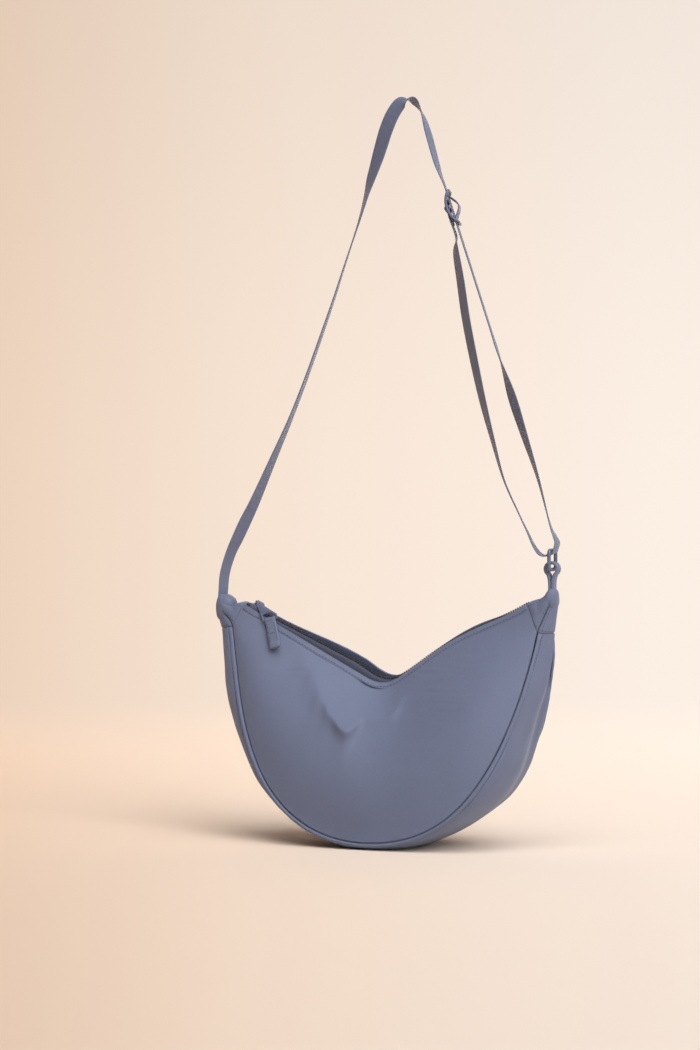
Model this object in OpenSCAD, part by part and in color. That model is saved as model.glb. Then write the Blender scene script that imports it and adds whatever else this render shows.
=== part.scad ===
/* [Bag] */
// Width between the two tips, seam to seam
bag_w = 316; // [280:2:340]
// Height of the seams' tips above the floor
tip_z = 232; // [215:1:250]
// Depth between the two seams at the base
base_d = 108; // [90:1:120]
// Depth between the two seams at the tips
tip_d = 17; // [16:0.5:22]
// Height of the seams' lowest point above the floor
seam_lift = 6.5; // [5:0.5:8]
// How far the base runs flat before it turns up
base_reach = 117; // [100:1:130]
// Length of the straight start of each flank, from the tip down
flank_reach = 96; // [80:1:120]
// How much fuller the right flank is than the left one
right_fullness = 4; // [0:1:10]
// How far the back seam stands out beyond the front one on the right flank
back_flare = 12; // [0:1:14]
// Lean of each flank at the tip, in degrees
flank_lean = 9; // [4:1:14]
// Most that the side band swells beyond the seams
gusset_bulge = 22; // [14:1:26]
// Most that the front and back swell
panel_bulge = 6; // [2:1:10]
// Thickness of the outer cloth
cloth_t = 1.2; // [0.8:0.1:1.6]
// Thickness of the lining
lining_t = 0.6; // [0.4:0.1:0.8]
// Gap between the outer cloth and the lining
lining_gap = 0.9; // [0.7:0.1:1.1]

/* [Seams] */
// Width of the raised welt beside each seam
welt_w = 3.6; // [2.5:0.1:5]
// Thickness of the welt
welt_t = 0.9; // [0.6:0.1:1.4]
// Gap left at each seam between two pieces of cloth
seam_gap = 0.2; // [0.15:0.05:0.3]

/* [Mouth] */
// Distance along the bag from each seam's tip to the mouth's end
mouth_inset = 16; // [10:1:22]
// Height of the mouth's lowest point
mouth_low_z = 152.5; // [140:0.5:165]
// How far the mouth's two ends lie below the seams' tips
mouth_drop = 8; // [5:1:14]
// Distance between the front and back edges of the mouth
mouth_gap = 16; // [15:0.5:19]
// Half the length over which the mouth's bottom is rounded
mouth_round = 16; // [12:1:24]
// Height of the swell on the right slope of the mouth
right_shoulder = 7; // [0:0.5:9]
// How much higher the mouth ends at the right than at the left
right_end_lift = 4; // [0:0.5:5]
// Most that the back edge of the mouth rises above the front one
back_rise = 13; // [0:0.5:14]
// How far the front slumps out at the fold below the mouth
slump = 8; // [0:0.5:10]
// Length over which that slump dies out below the fold
slump_fade = 62; // [40:2:80]
// Width of the topstitched hem along the mouth
hem_w = 5.5; // [4:0.5:8]
// Thickness of the hem's folded layer
hem_t = 0.7; // [0.5:0.1:1]

/* [Zip] */
// Thickness of the zip tape
tape_t = 0.6; // [0.4:0.1:0.8]
// Gap between the outer cloth and the tape
tape_gap = 0.4; // [0.3:0.1:0.6]
// Length of the tape that is sewn down inside the panel
tape_leg = 9; // [8:0.5:10]
// Width of one side's teeth
tooth_w = 2.9; // [2.4:0.1:3.2]
// Height of the teeth above the tape
tooth_h = 2.2; // [1.8:0.1:2.6]
// Distance from one tooth to the next
tooth_pitch = 4.8; // [4:0.1:6]
// Height of the zip above the front edge near the mouth's bottom
zip_rise = 6.5; // [0:0.5:6.5]
// Gap between the two sides of the zip
chain_gap = 0.8; // [0.7:0.05:1]

/* [Zip slider] */
// Length of the slider
slider_l = 15; // [12:0.5:17]
// Width of the slider at its wide end
slider_w = 10.4; // [10:0.1:11]
// Thickness of the slider's plates
slider_t = 1.5; // [1.2:0.1:1.8]
// Running clearance round the teeth
slider_clear = 0.3; // [0.25:0.05:0.4]
// Distance from the mouth's left end to the slider when the zip is shut
slider_inset = 11; // [10:0.5:16]
// Height of the bridge bar above the slider's top plate
bridge_h = 3; // [2.8:0.1:3.4]
// Diameter of the bridge bar
bridge_bar_d = 1.6; // [1.4:0.1:1.8]

/* [Pull] */
// Diameter of the link's wire
link_wire = 1.6; // [1.4:0.1:1.8]
// Width of the link's lower bar
link_bar_w = 14.5; // [14:0.5:16]
// Width of the fabric pull tab
tab_w = 10.5; // [9:0.5:11]
// Length of the pull tab
tab_l = 30; // [24:1:34]
// Thickness of the pull tab where it is sewn flat
tab_t = 2.6; // [2:0.1:3]
// Thickness of the pull tab's folded end
tab_end_t = 3.8; // [3:0.1:4.4]
// Lean of the hanging tab away from the panel, in degrees
tab_lean = 20; // [18:1:30]
// Lean of the hanging tab to the right, in degrees
tab_skew = 15; // [0:1:18]

/* [Corner caps] */
// How far the left cap's top stands out beyond the seams' tip
left_cap_out = 8; // [4:1:10]
// How far the left cap's top lies below the seams' tips
left_cap_drop = 5; // [0:1:8]
// Half width of the left cap's top
left_cap_rx = 8; // [6:0.5:9]
// How far the right cap's top stands out beyond the seams' tip
right_cap_out = 6; // [3:1:8]
// How far the right cap's top lies above the seams' tips
right_cap_lift = 9; // [6:1:12]
// Half width of the right cap's top
right_cap_rx = 5.5; // [4.5:0.5:7]
// Half depth of each cap's top
cap_ry = 9; // [8.6:0.1:10]
// Height of the folded end that closes each cap
cap_dome = 2.2; // [1.5:0.1:3]

/* [Strap] */
// Width of the webbing
strap_w = 15; // [12:0.5:16]
// Thickness of the webbing
strap_t = 1.4; // [1:0.1:1.6]
// Height of the strap's top above its left root
strap_rise = 460; // [400:5:520]
// Running gap at the strap's two roots
root_gap = 0.3; // [0.25:0.05:0.4]
// Lean of the straight front strand, in degrees
strand_lean = 18.5; // [17:0.5:20]
// Turn of the webbing along the straight strand, in degrees
strand_turn = -14; // [-20:1:-8]

/* [Ring] */
// Thickness of the ring's wire
ring_wire = 3.5; // [3:0.1:4]
// Clearance at each side of the strap inside the ring
ring_clear = 0.5; // [0.4:0.1:1]
// Height between the ring's two bars, centre to centre
ring_h = 17.5; // [16:0.5:22]
// Clearance between the cap and the ring when the strap is swung down
swing_clear = 1.5; // [0.5:0.25:2]
// Width of the fabric loop that holds the ring
loop_w = 8; // [6:0.5:10]
// Thickness of the fabric loop
loop_t = 1.3; // [1:0.1:1.6]

/* [Adjuster] */
// Length of the adjuster
adjuster_l = 34; // [28:1:38]
// Thickness of the adjuster's side rails
rail_t = 3; // [2.6:0.1:3.4]
// Diameter of the adjuster's bars
adjuster_bar_d = 2.6; // [2.2:0.1:3]
// Clearance between the adjuster and the webbing
adjuster_clear = 0.35; // [0.3:0.05:0.5]
// Length of the sewn end of the webbing below the middle bar
end_fold_l = 15; // [12:0.5:16]

/* [Hidden] */
cut = 1;
fine = 32;
wire_fine = 16;

// Shares that shape the bag's body
cap_seam_share = 0.9;
bulge_shares = [[0, 0.62], [0.12, 0.68], [0.43, 1], [0.68, 0.85], [0.88, 0.55], [1, 0.5]];
right_swell_shares = [[0, -0.15], [0.75, 0.12], [0.95, -0.1], [1, 0]];
flare_shares = [[0, 0], [0.1, 0.4], [0.25, 1], [0.5, 1], [0.68, 0.3], [0.85, 0], [1, 0]];
flare_flat_share = 0.8;
back_rise_shares = [[-1, 0.08], [-0.8, 0.08], [-0.17, 1], [0.15, 0.25], [0.6, 0.35], [1, 0.1]];
fold_depth_shares = [[-0.62, 0], [-0.5, 0.2], [-0.36, 0.76], [-0.22, 1], [-0.08, 0.58], [0.07, 0.5],
    [0.18, 0.25], [0.4, 0]];
fold_deepest_share = 0.38;
body_steps = 36;
panel_steps = 10;
gusset_steps = 8;
lining_body_steps = 20;
lining_panel_steps = 6;
lining_gusset_steps = 5;

// Derived sizes of the mouth and the zip
mouth_w = bag_w - 2*mouth_inset;
mouth_end_z = tip_z - mouth_drop;
slider_x = mouth_w/2 - slider_inset;
fold_deepest = fold_deepest_share*mouth_w/2;
zip_bend_share = 0.22;
zip_flat_share = 0.2;
mouth_k = (mouth_end_z - mouth_low_z)/(mouth_w/2 - mouth_round/2);
zip_bend_x = zip_bend_share*mouth_w/2;
zip_flat_x = zip_flat_share*mouth_w/2;
zip_k = zip_rise/(slider_x - zip_bend_x);
slope = atan(mouth_k - zip_k);
tape_edge_y = mouth_gap/2 - cloth_t - tape_gap;
slider_z = mouth_low_z + mouth_k*(slider_x - mouth_round/2);
slider_plate_z = tooth_h + slider_clear;
bridge_bar_z = slider_plate_z + slider_t + bridge_h;
bridge_back = -0.32*slider_l;
bridge_front = 0.2*slider_l;
bridge_post_w = 1.3;
eye_clear = 0.1;
eye_wall = 0.9;

// Derived sizes of the pull
tab_hole_d = link_wire + 2*eye_clear;
tab_fold_d = tab_hole_d + tab_t;
bar_x = -slider_x + slider_l*1.2;
bar_dir = [cos(tab_skew), 0, sin(tab_skew)];
bar_y = -mouth_gap/2 - hem_t - tab_fold_d/2 - 4.5*slider_clear;
bar_z = mouth_low_z + mouth_k*(-bar_x - mouth_round/2) + link_wire*0.9;
link_lead = tab_fold_d/2 + link_wire/2 + slider_clear;
knuckle_d = link_wire + eye_clear;

// Derived sizes of the roots and the swing axis
left_cap_x = bag_w/2 + left_cap_out;
left_cap_z = tip_z - left_cap_drop;
right_cap_x = bag_w/2 + right_cap_out;
right_cap_z = tip_z + right_cap_lift;
left_root = [-left_cap_x - strap_t, 0, left_cap_z + cap_dome + root_gap + strap_w/2];
right_root = [right_cap_x, 0, right_cap_z + cap_dome + root_gap + loop_w/2];
swing_tilt = atan((right_root[2] - left_root[2])/(right_root[0] - left_root[0]));
ring_in = strap_w + 2*ring_clear;
ring_drop = cap_ry + swing_clear + ring_wire/2;
ring_rise = ring_h + ring_drop;
ring_top = right_root + [0, 0, ring_rise];
turn_r = ring_wire/2 + root_gap + strap_t/2;

// The strap's route: x and z as shares of the half span and the rise, y of the width, and its turn
route_shares = [
    [-1.000, 0, 0.000, 12], [-0.990, 0, 0.035, 14], [-0.955, 0, 0.075, 18], [-0.915, 0, 0.105, 26],
    [-0.860, 0, 0.145, 28], [-0.800, 0, 0.187, 18], [-0.690, 0, 0.272, 3], [-0.583, 0, 0.354, -8],
    [-0.488, 0, 0.435, -12], [-0.400, 0, 0.517, -14], [-0.315, 0, 0.600, -17], [-0.238, 0, 0.680, -21],
    [-0.160, 0, 0.760, -28], [-0.118, 0, 0.810, -38], [-0.090, 0, 0.843, -54], [-0.058, 0, 0.876, -65],
    [-0.025, -0.1, 0.908, -73], [0.010, -0.2, 0.942, -78], [0.055, -0.25, 0.975, -80],
    [0.110, -0.2, 0.998, -76], [0.165, 0, 0.999, -52], [0.212, 0.15, 0.974, -14],
    [0.247, 0.1, 0.938, 3], [0.280, 0, 0.900, 3], [0.306, 0, 0.868, 0], [0.327, 0, 0.846, -8]];
strand_top_shares = [0.355, 0.821];
strand_share = 0.62;
strand_l = strand_share*strap_rise;
straight_shares = [0, 0.1, 0.2, 0.3, 0.4, 0.5, 0.58];
twist_shares = [[0.58, 0], [0.72, 1], [0.84, 0.85], [1, 0.35]];
twist_most = -34;
approach_shares = [[0.963, 0.143, -16], [0.992, 0.117, -6], [1.007, 0.104, 0], [1.002, 0.094, 0]];
return_shares = [
    [0.941, 0.0765, 0], [0.905, 0.082, -4], [0.870, 0.100, -10], [0.838, 0.124, -15], [0.785, 0.162, -19],
    [0.700, 0.228, -22], [0.635, 0.306, -32], [0.573, 0.390, -42], [0.523, 0.472, -47],
    [0.478, 0.554, -48], [0.445, 0.632, -46], [0.418, 0.690, -38]];
smooth_steps = 3;

half_span = left_cap_x + strap_t;
strand_top = [half_span*strand_top_shares[0], 0, left_root[2] + strap_rise*strand_top_shares[1]];
strand_dir = [sin(strand_lean), 0, -cos(strand_lean)];
adjuster_at = strand_top + strand_dir*adjuster_l*0.62;
bar_out = strap_t/2 + adjuster_clear + adjuster_bar_d/2;
fold_r = adjuster_bar_d/2 + 0.5*adjuster_clear;
mid_in = strap_t/2 + adjuster_clear + fold_r + strap_t;
rail_gap = strap_w/2 + adjuster_clear;
end_bar_z = adjuster_l/2 - adjuster_bar_d/2;

// Blends and simple vector helpers
function ease(t) = (1 - cos(180*t))/2;
function lerp(a, b, t) = a + (b - a)*t;
function unit(v) = v/norm(v);
function bez(a, b, c, d, t) =
    pow(1 - t, 3)*a + 3*pow(1 - t, 2)*t*b + 3*(1 - t)*t*t*c + pow(t, 3)*d;
function smooth_table(rows, t, i = 0) =
    i >= len(rows) - 2 || t < rows[i + 1][0]
        ? lerp(rows[i][1], rows[i + 1][1], ease((t - rows[i][0])/(rows[i + 1][0] - rows[i][0])))
        : smooth_table(rows, t, i + 1);

// The seam line: a flat base that turns up into two leaning flanks
function seam_xz(u) =
    let (t = abs(u), more = u > 0 ? right_fullness : 0, f = flank_reach + more,
        p = bez([0, seam_lift], [base_reach + more, seam_lift],
            [bag_w/2 - f*sin(flank_lean), tip_z - f*cos(flank_lean)], [bag_w/2, tip_z], t))
    [sign(u)*p[0], p[1]];
function seam_out(u) =
    let (e = 0.01, d = unit(seam_xz(min(1, u + e)) - seam_xz(max(-1, u - e)))) [d[1], -d[0]];
function down_share(z) = (tip_z - z)/(tip_z - seam_lift);
function half_depth(z) = lerp(tip_d/2, base_d/2, ease(down_share(z)));
function flare_share(z, u) = u > 0 ? smooth_table(flare_shares, down_share(z)) : 0;
function bulge(z, u) =
    gusset_bulge*(smooth_table(bulge_shares, down_share(z))
        + (u > 0 ? smooth_table(right_swell_shares, down_share(z)) : 0))
        *(1 - flare_flat_share*flare_share(z, u));

// The mouth's edge at a share of its half width, on the front (side -1) or back (side 1)
function mouth_z(m) =
    let (a = abs(m)*mouth_w/2)
    mouth_low_z + mouth_k*(a < mouth_round ? a*a/(2*mouth_round) : a - mouth_round/2)
        + (m > 0 ? right_shoulder*pow(sin(180*m), 2) + right_end_lift*m*m : 0);
function edge_rise(m, side) = side > 0 ? back_rise*smooth_table(back_rise_shares, m) : 0;
function mouth_pt(m, side) = [m*mouth_w/2, side*mouth_gap/2, mouth_z(m) + edge_rise(m, side)];

// The body's skin: c runs 0 to 1 down the front, 1 to 2 round the side band, 2 to 3 up the back
function fold_depth(m) = fold_deepest*smooth_table(fold_depth_shares, max(-0.62, min(0.4, m)));
function slump_out(m, down) =
    let (d = fold_depth(m))
    slump*d/fold_deepest*(down < d ? down/d : exp(-(down - d)/slump_fade));
function panel_pt(m, v, side) =
    let (q = seam_xz(m*cap_seam_share), f = side > 0 ? back_flare*flare_share(q[1], m) : 0,
        s = [q[0] + f, side*half_depth(q[1]), q[1]], p = mouth_pt(m, side))
    lerp(p, s, v) + [0, side*panel_bulge*sin(180*v*v)*cos(80*m), 0]
        - [0, side < 0 ? slump_out(m, v*norm(s - p))*(1 - pow(v, 4)) : 0, 0];
function gusset_pt(m, a) =
    let (u = m*cap_seam_share, q = seam_xz(u), n = seam_out(u), b = bulge(q[1], u)*sin(a),
        f = back_flare*flare_share(q[1], u)*ease(a/180))
    [q[0] + n[0]*b + f, -half_depth(q[1])*cos(a), max(0, q[1] + n[1]*b)];
function skin_pt(m, c) =
    c <= 1 ? panel_pt(m, c, -1) : c < 2 ? gusset_pt(m, 180*(c - 1)) : panel_pt(m, 3 - c, 1);
function skin_normal(m, c) =
    let (e = 0.01, f = 0.02, m0 = max(-1, m - e), m1 = min(1, m + e),
        c0 = max(0, c - f), c1 = min(3, c + f))
    unit(cross(skin_pt(m, c1) - skin_pt(m, c0), skin_pt(m1, c) - skin_pt(m0, c)));
function skin_off(m, c, off) =
    let (p = skin_pt(m, c) - off*skin_normal(m, c)) [p[0], p[1], max(-off, p[2])];
function skin_grid(ms, cs, off) = [for (m = ms) [for (c = cs) skin_off(m, c, off)]];
function span(a, b, n) = [for (i = [0:n]) lerp(a, b, i/n)];

// Triangles of a closed solid between two grids of points, or round a closed row of loops
function quad(a, b, c, d) = [[a, b, c], [a, c, d]];
function sheet_faces(r, c) =
    let (n = r*c)
    concat(
        [for (i = [0:r - 2]) for (j = [0:c - 2]) each
            quad(i*c + j, (i + 1)*c + j, (i + 1)*c + j + 1, i*c + j + 1)],
        [for (i = [0:r - 2]) for (j = [0:c - 2]) each
            quad(n + i*c + j, n + i*c + j + 1, n + (i + 1)*c + j + 1, n + (i + 1)*c + j)],
        [for (i = [0:r - 2]) each quad(i*c, n + i*c, n + (i + 1)*c, (i + 1)*c)],
        [for (i = [0:r - 2]) each
            quad((i + 1)*c + c - 1, n + (i + 1)*c + c - 1, n + i*c + c - 1, i*c + c - 1)],
        [for (j = [0:c - 2]) each quad(j + 1, n + j + 1, n + j, j)],
        [for (j = [0:c - 2]) each
            quad((r - 1)*c + j, n + (r - 1)*c + j, n + (r - 1)*c + j + 1, (r - 1)*c + j + 1)]);
function tube_faces(r, k) =
    concat(
        [for (i = [0:r - 2]) for (j = [0:k - 1]) each
            quad(i*k + j, (i + 1)*k + j, (i + 1)*k + (j + 1)%k, i*k + (j + 1)%k)],
        [for (j = [1:k - 2]) [0, j, j + 1]],
        [for (j = [1:k - 2]) [(r - 1)*k, (r - 1)*k + j + 1, (r - 1)*k + j]]);

module sheet(outer, inner) {
    polyhedron(points = concat([for (r = outer) each r], [for (r = inner) each r]),
        faces = sheet_faces(len(outer), len(outer[0])), convexity = 6);
}

module tube(loops) {
    polyhedron(points = [for (l = loops) each l],
        faces = tube_faces(len(loops), len(loops[0])), convexity = 6);
}

module skin_piece(c0, c1, steps, rows, near, far, m_end = 1) {
    ms = span(-m_end, m_end, rows);
    cs = span(c0, c1, steps);
    sheet(skin_grid(ms, cs, near), skin_grid(ms, cs, far));
}

// The share of a panel line, or of the side band's turn, that a short length takes
function panel_share(m, len, side) = len/norm(panel_pt(m, 1, side) - panel_pt(m, 0, side));
function turn_share(m, len) = len/norm(gusset_pt(m, 180/gusset_steps) - gusset_pt(m, 0))/gusset_steps;

// Outer cloth
module front_panel() {
    color([0.41, 0.42, 0.49]) skin_piece(0, 1, panel_steps, body_steps, 0, cloth_t);
}

module back_panel() {
    color([0.41, 0.42, 0.49]) skin_piece(2, 3, panel_steps, body_steps, 0, cloth_t);
}

module gusset() {
    ms = span(-1, 1, body_steps);
    function cs(m) = let (g = turn_share(m, seam_gap)) span(1 + g, 2 - g, gusset_steps);
    color([0.46, 0.47, 0.58])
        sheet([for (m = ms) [for (c = cs(m)) skin_off(m, c, 0)]],
            [for (m = ms) [for (c = cs(m)) skin_off(m, c, cloth_t)]]);
}

// Raised welt that covers the seam allowance on the side band
module welt(side) {
    ms = span(-1, 1, body_steps);
    function cs(m) =
        let (a = turn_share(m, seam_gap), b = turn_share(m, seam_gap + welt_w))
        side < 0 ? span(1 + a, 1 + b, 2) : span(2 - b, 2 - a, 2);
    lift = seam_gap;
    color([0.50, 0.51, 0.62])
        sheet([for (m = ms) [for (c = cs(m)) skin_off(m, c, -lift - welt_t)]],
            [for (m = ms) [for (c = cs(m)) skin_off(m, c, -lift)]]);
}

module front_welt() {
    welt(-1);
}

module back_welt() {
    welt(1);
}

// Folded, topstitched hem along each edge of the mouth
module hem(side) {
    ms = span(-1, 1, body_steps);
    lift = seam_gap/2;
    function cs(m) =
        let (w = panel_share(m, hem_w, side)) side < 0 ? span(0, w, 2) : span(3 - w, 3, 2);
    color([0.47, 0.48, 0.57])
        sheet([for (m = ms) [for (c = cs(m)) skin_off(m, c, -lift - hem_t)]],
            [for (m = ms) [for (c = cs(m)) skin_off(m, c, -lift)]]);
}

module front_hem() {
    hem(-1);
}

module back_hem() {
    hem(1);
}

// The zip's line: straight down the left slope for the slider, then down to the mouth's level
function zip_lift(x) =
    x < -zip_bend_x ? zip_k*(x + slider_x)
        : x < zip_flat_x ? zip_rise*(1 - ease((x + zip_bend_x)/(zip_bend_x + zip_flat_x))) : 0;
function zip_z(m) = mouth_z(m) + zip_lift(m*mouth_w/2);

// A section in depth and height, swept along the zip from cap to cap
function zip_normal(m) =
    let (e = 0.01, d = unit([2*e*mouth_w/2, zip_z(m + e) - zip_z(m - e)])) [-d[1], 0, d[0]];
function zip_loop(m, section) =
    [for (p = section) [m*mouth_w/2, p[0], zip_z(m)] + p[1]*zip_normal(m)];

module zip_sweep(ms, sections) {
    tube([for (i = [0:len(ms) - 1]) zip_loop(ms[i], sections[i])]);
}

// Zip tape: flat beside the teeth, then turned down inside the panel
module zip_tape(side) {
    y0 = side*chain_gap/2;
    y1 = side*tape_edge_y;
    y2 = side*(tape_edge_y - tape_t);
    flat = [[y0, 0], [y1, 0], [y1, -tape_leg], [y2, -tape_leg], [y2, -tape_t], [y0, -tape_t]];
    section = side < 0 ? flat : [for (i = [len(flat) - 1:-1:0]) flat[i]];
    ms = span(-1, 1, 2*body_steps);
    color([0.30, 0.31, 0.38]) zip_sweep(ms, [for (m = ms) section]);
}

module front_zip_tape() {
    zip_tape(-1);
}

module back_zip_tape() {
    zip_tape(1);
}

// Zip teeth: one comb whose width and height step in and out at each tooth
module zip_teeth(side) {
    count = 2*round(mouth_w/cos(slope)/tooth_pitch/2);
    ms = span(-1, 1, 2*count);
    y0 = side*chain_gap/2;
    lift = seam_gap/2;
    function section(i) =
        let (full = i%2 == side > 0 ? 1 : 0, w = tooth_w*(full ? 1 : 0.72), h = tooth_h*(full ? 1 : 0.6),
            p = [[y0, lift], [y0, h], [y0 + side*w, h], [y0 + side*w, lift]])
        side < 0 ? [p[0], p[1], p[2], p[3]] : [p[3], p[2], p[1], p[0]];
    color([0.27, 0.28, 0.35]) zip_sweep(ms, [for (i = [0:len(ms) - 1]) section(i)]);
}

module front_zip_teeth() {
    zip_teeth(-1);
}

module back_zip_teeth() {
    zip_teeth(1);
}

// Lining, one bag of three pieces that hangs from the zip tape
lining_near = cloth_t + lining_gap;
lining_far = lining_near + lining_t;

module lining_wall(side) {
    ms = span(-1, 1, lining_body_steps);
    function cs(m) =
        let (w = panel_share(m, tape_leg + hem_w, side), e = 0.02)
        side < 0 ? span(w, 1 - e, lining_panel_steps) : span(2 + e, 3 - w, lining_panel_steps);
    color([0.33, 0.34, 0.41])
        sheet([for (m = ms) [for (c = cs(m)) skin_off(m, c, lining_near)]],
            [for (m = ms) [for (c = cs(m)) skin_off(m, c, lining_far)]]);
}

module front_lining() {
    lining_wall(-1);
}

module back_lining() {
    lining_wall(1);
}

module gusset_lining() {
    color([0.33, 0.34, 0.41])
        skin_piece(1.01, 1.99, lining_gusset_steps, lining_body_steps, lining_near, lining_far);
}

// A corner cap's skin: from the body's end loop (q 0) to a small oval round the root (q 1)
cap_lead = 9;
cap_top_rise = 10;
cap_arch = 3;
cap_turns = [-140, -50, 50, 140, 220];
function cap_x(side) = side < 0 ? left_cap_x : right_cap_x;
function cap_z(side) = side < 0 ? left_cap_z : right_cap_z;
function cap_rx(side) = side < 0 ? left_cap_rx : right_cap_rx;
function cap_oval(side, c, grow = 1) =
    let (i = min(3, floor(c)), a = lerp(cap_turns[i], cap_turns[i + 1], c - i))
    [side*(cap_x(side) + grow*cap_rx(side)*cos(a)), grow*cap_ry*sin(a), cap_z(side)];
function cap_base(side, c) =
    c <= 3 ? skin_pt(side, c)
        : lerp(skin_pt(side, 3), skin_pt(side, 0), c - 3) + [0, 0, cap_arch*sin(180*(c - 3))];
function cap_start(side, c) =
    let (e = 0.04, k = side*(1 - e))
    c <= 3 ? unit(skin_pt(side, c) - skin_pt(k, c))
        : lerp(cap_start(side, 3), cap_start(side, 0), c - 3);
function cap_pt(side, q, c) =
    let (p = cap_base(side, c), t = cap_oval(side, c))
    bez(p, p + cap_lead*cap_start(side, c), t - [0, 0, cap_top_rise], t, q);
function cap_normal(side, q, c) =
    let (e = 0.03, q0 = max(0, q - e), q1 = min(1, q + e),
        c0 = c - e < 0 ? c - e + 4 : c - e, c1 = c + e > 4 ? c + e - 4 : c + e)
    side*unit(cross(cap_pt(side, q1, c) - cap_pt(side, q0, c), cap_pt(side, q, c1) - cap_pt(side, q, c0)));
function cap_grid(side, qs, cs, off) =
    [for (q = qs) [for (c = cs) cap_pt(side, q, c) - off*cap_normal(side, q, c)]];

module cap_piece(side, c0, c1, steps) {
    e = 0.012;
    qs = span(0.012, 0.985, 8);
    cs = span(c0 + e, c1 - e, steps);
    near = side < 0 ? 0 : cloth_t;
    far = side < 0 ? cloth_t : 0;
    color([0.49, 0.50, 0.60]) sheet(cap_grid(side, qs, cs, near), cap_grid(side, qs, cs, far));
}

module left_cap_front() {
    cap_piece(-1, 0, 1, 6);
}

module left_cap_side() {
    cap_piece(-1, 1, 2, 8);
}

module left_cap_back() {
    cap_piece(-1, 2, 3, 6);
}

module left_cap_top() {
    cap_piece(-1, 3, 4, 3);
}

module right_cap_front() {
    cap_piece(1, 0, 1, 6);
}

module right_cap_side() {
    cap_piece(1, 1, 2, 8);
}

module right_cap_back() {
    cap_piece(1, 2, 3, 6);
}

module right_cap_top() {
    cap_piece(1, 3, 4, 3);
}

// Folded end that closes a cap under the strap or the loop
module cap_end(side) {
    tuck_share = 0.8;
    rings = [[tuck_share, -cap_dome], [tuck_share, -seam_gap], [1, seam_gap], [0.92, 0.55*cap_dome], [0.6, cap_dome]];
    loop = [for (r = rings) [for (c = [0:0.2:3.9]) cap_oval(side, c, r[0]) + [0, 0, r[1]]]];
    color([0.51, 0.52, 0.62]) tube(side < 0 ? [for (i = [len(loop) - 1:-1:0]) loop[i]] : loop);
}

module left_strap_tab() {
    cap_end(-1);
}

module right_loop_tab() {
    cap_end(1);
}

// Zip slider on the left slope: plates, flanges, neck and bridge, in the slope's own frame
module on_slope() {
    translate([-slider_x, 0, slider_z]) rotate([0, slope, 0]) children();
}

module slider_outline(w) {
    nose = 0.72;
    polygon([[-slider_l/2, -w/2], [slider_l*0.12, -w/2], [slider_l/2, -nose*w/2],
        [slider_l/2, nose*w/2], [slider_l*0.12, w/2], [-slider_l/2, w/2]]);
}

module bridge_post(x, w) {
    translate([x - w/2, -slider_t*0.8, slider_plate_z + slider_t*0.5])
        cube([w, slider_t*1.6, bridge_h + slider_t*0.5 + bridge_bar_d/2]);
}

module zip_slider_body() {
    teeth_y = chain_gap/2 + tooth_w + slider_clear;
    neck_t = chain_gap - 2*slider_clear*0.8;
    under_z = -tape_t - slider_clear - slider_t;
    color([0.43, 0.44, 0.52]) on_slope() {
        translate([0, 0, slider_plate_z]) linear_extrude(slider_t) slider_outline(slider_w);
        translate([0, 0, under_z]) linear_extrude(slider_t) slider_outline(slider_w);
        translate([0, 0, slider_clear]) linear_extrude(slider_plate_z) difference() {
            slider_outline(slider_w);
            translate([-slider_l, -teeth_y]) square([2*slider_l, 2*teeth_y]);
        }
        translate([-slider_l*0.4, -neck_t/2, under_z + slider_t/2])
            cube([slider_l*0.3, neck_t, slider_plate_z - under_z]);
        bridge_post(bridge_back, bridge_post_w);
        bridge_post(bridge_front, bridge_post_w);
        translate([bridge_back, 0, bridge_bar_z]) rotate([0, 90, 0])
            cylinder(d = bridge_bar_d, h = bridge_front - bridge_back, $fn = fine);
    }
}

// A round rod between two points
module rod(a, b, d) {
    v = b - a;
    lap = 0.1*d;
    translate(a - lap*unit(v)) rotate([0, acos(v[2]/norm(v)), atan2(v[1], v[0])])
        cylinder(d = d, h = norm(v) + 2*lap, $fn = wire_fine);
}

function slope_pt(p) =
    [-slider_x, 0, slider_z] + [p[0]*cos(slope) + p[2]*sin(slope), p[1], -p[0]*sin(slope) + p[2]*cos(slope)];

// Link: an eye on the bridge bar, two legs and a level bar that holds the tab
module pull_link() {
    post_gap = bridge_post_w/2 + slider_clear;
    x0 = bridge_back + post_gap;
    x1 = bridge_front - post_gap;
    eye_d = bridge_bar_d + 2*eye_clear + 2*eye_wall;
    eye_out = bridge_bar_d/2 + eye_clear + eye_wall*0.6;
    a = [bar_x, bar_y, bar_z] - bar_dir*link_bar_w/2;
    b = [bar_x, bar_y, bar_z] + bar_dir*link_bar_w/2;
    lead = link_lead*[-sin(tab_skew), 0, cos(tab_skew)];
    knee_y = -slider_t*0.8 - link_wire*1.6;
    e0 = slope_pt([x0 + link_wire/2, -eye_out, bridge_bar_z]);
    e1 = slope_pt([x1 - link_wire/2, -eye_out, bridge_bar_z]);
    k0 = slope_pt([x0 + link_wire/2, knee_y, bridge_bar_z]);
    k1 = slope_pt([x1 - link_wire/2, knee_y, bridge_bar_z]);
    color([0.43, 0.44, 0.52]) {
        on_slope() translate([x0, 0, bridge_bar_z]) rotate([0, 90, 0]) difference() {
            cylinder(d = eye_d, h = x1 - x0, $fn = fine);
            translate([0, 0, -cut]) cylinder(d = bridge_bar_d + 2*eye_clear, h = x1 - x0 + 2*cut, $fn = fine);
        }
        rod(e0, k0, link_wire);
        rod(e1, k1, link_wire);
        rod(k0, a + lead, link_wire);
        rod(k1, b + lead, link_wire);
        rod(a + lead, a, link_wire);
        rod(b + lead, b, link_wire);
        rod(a, b, link_wire);
        for (p = [a, b, a + lead, b + lead, k0, k1]) translate(p) sphere(d = knuckle_d, $fn = wire_fine);
    }
}

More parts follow.
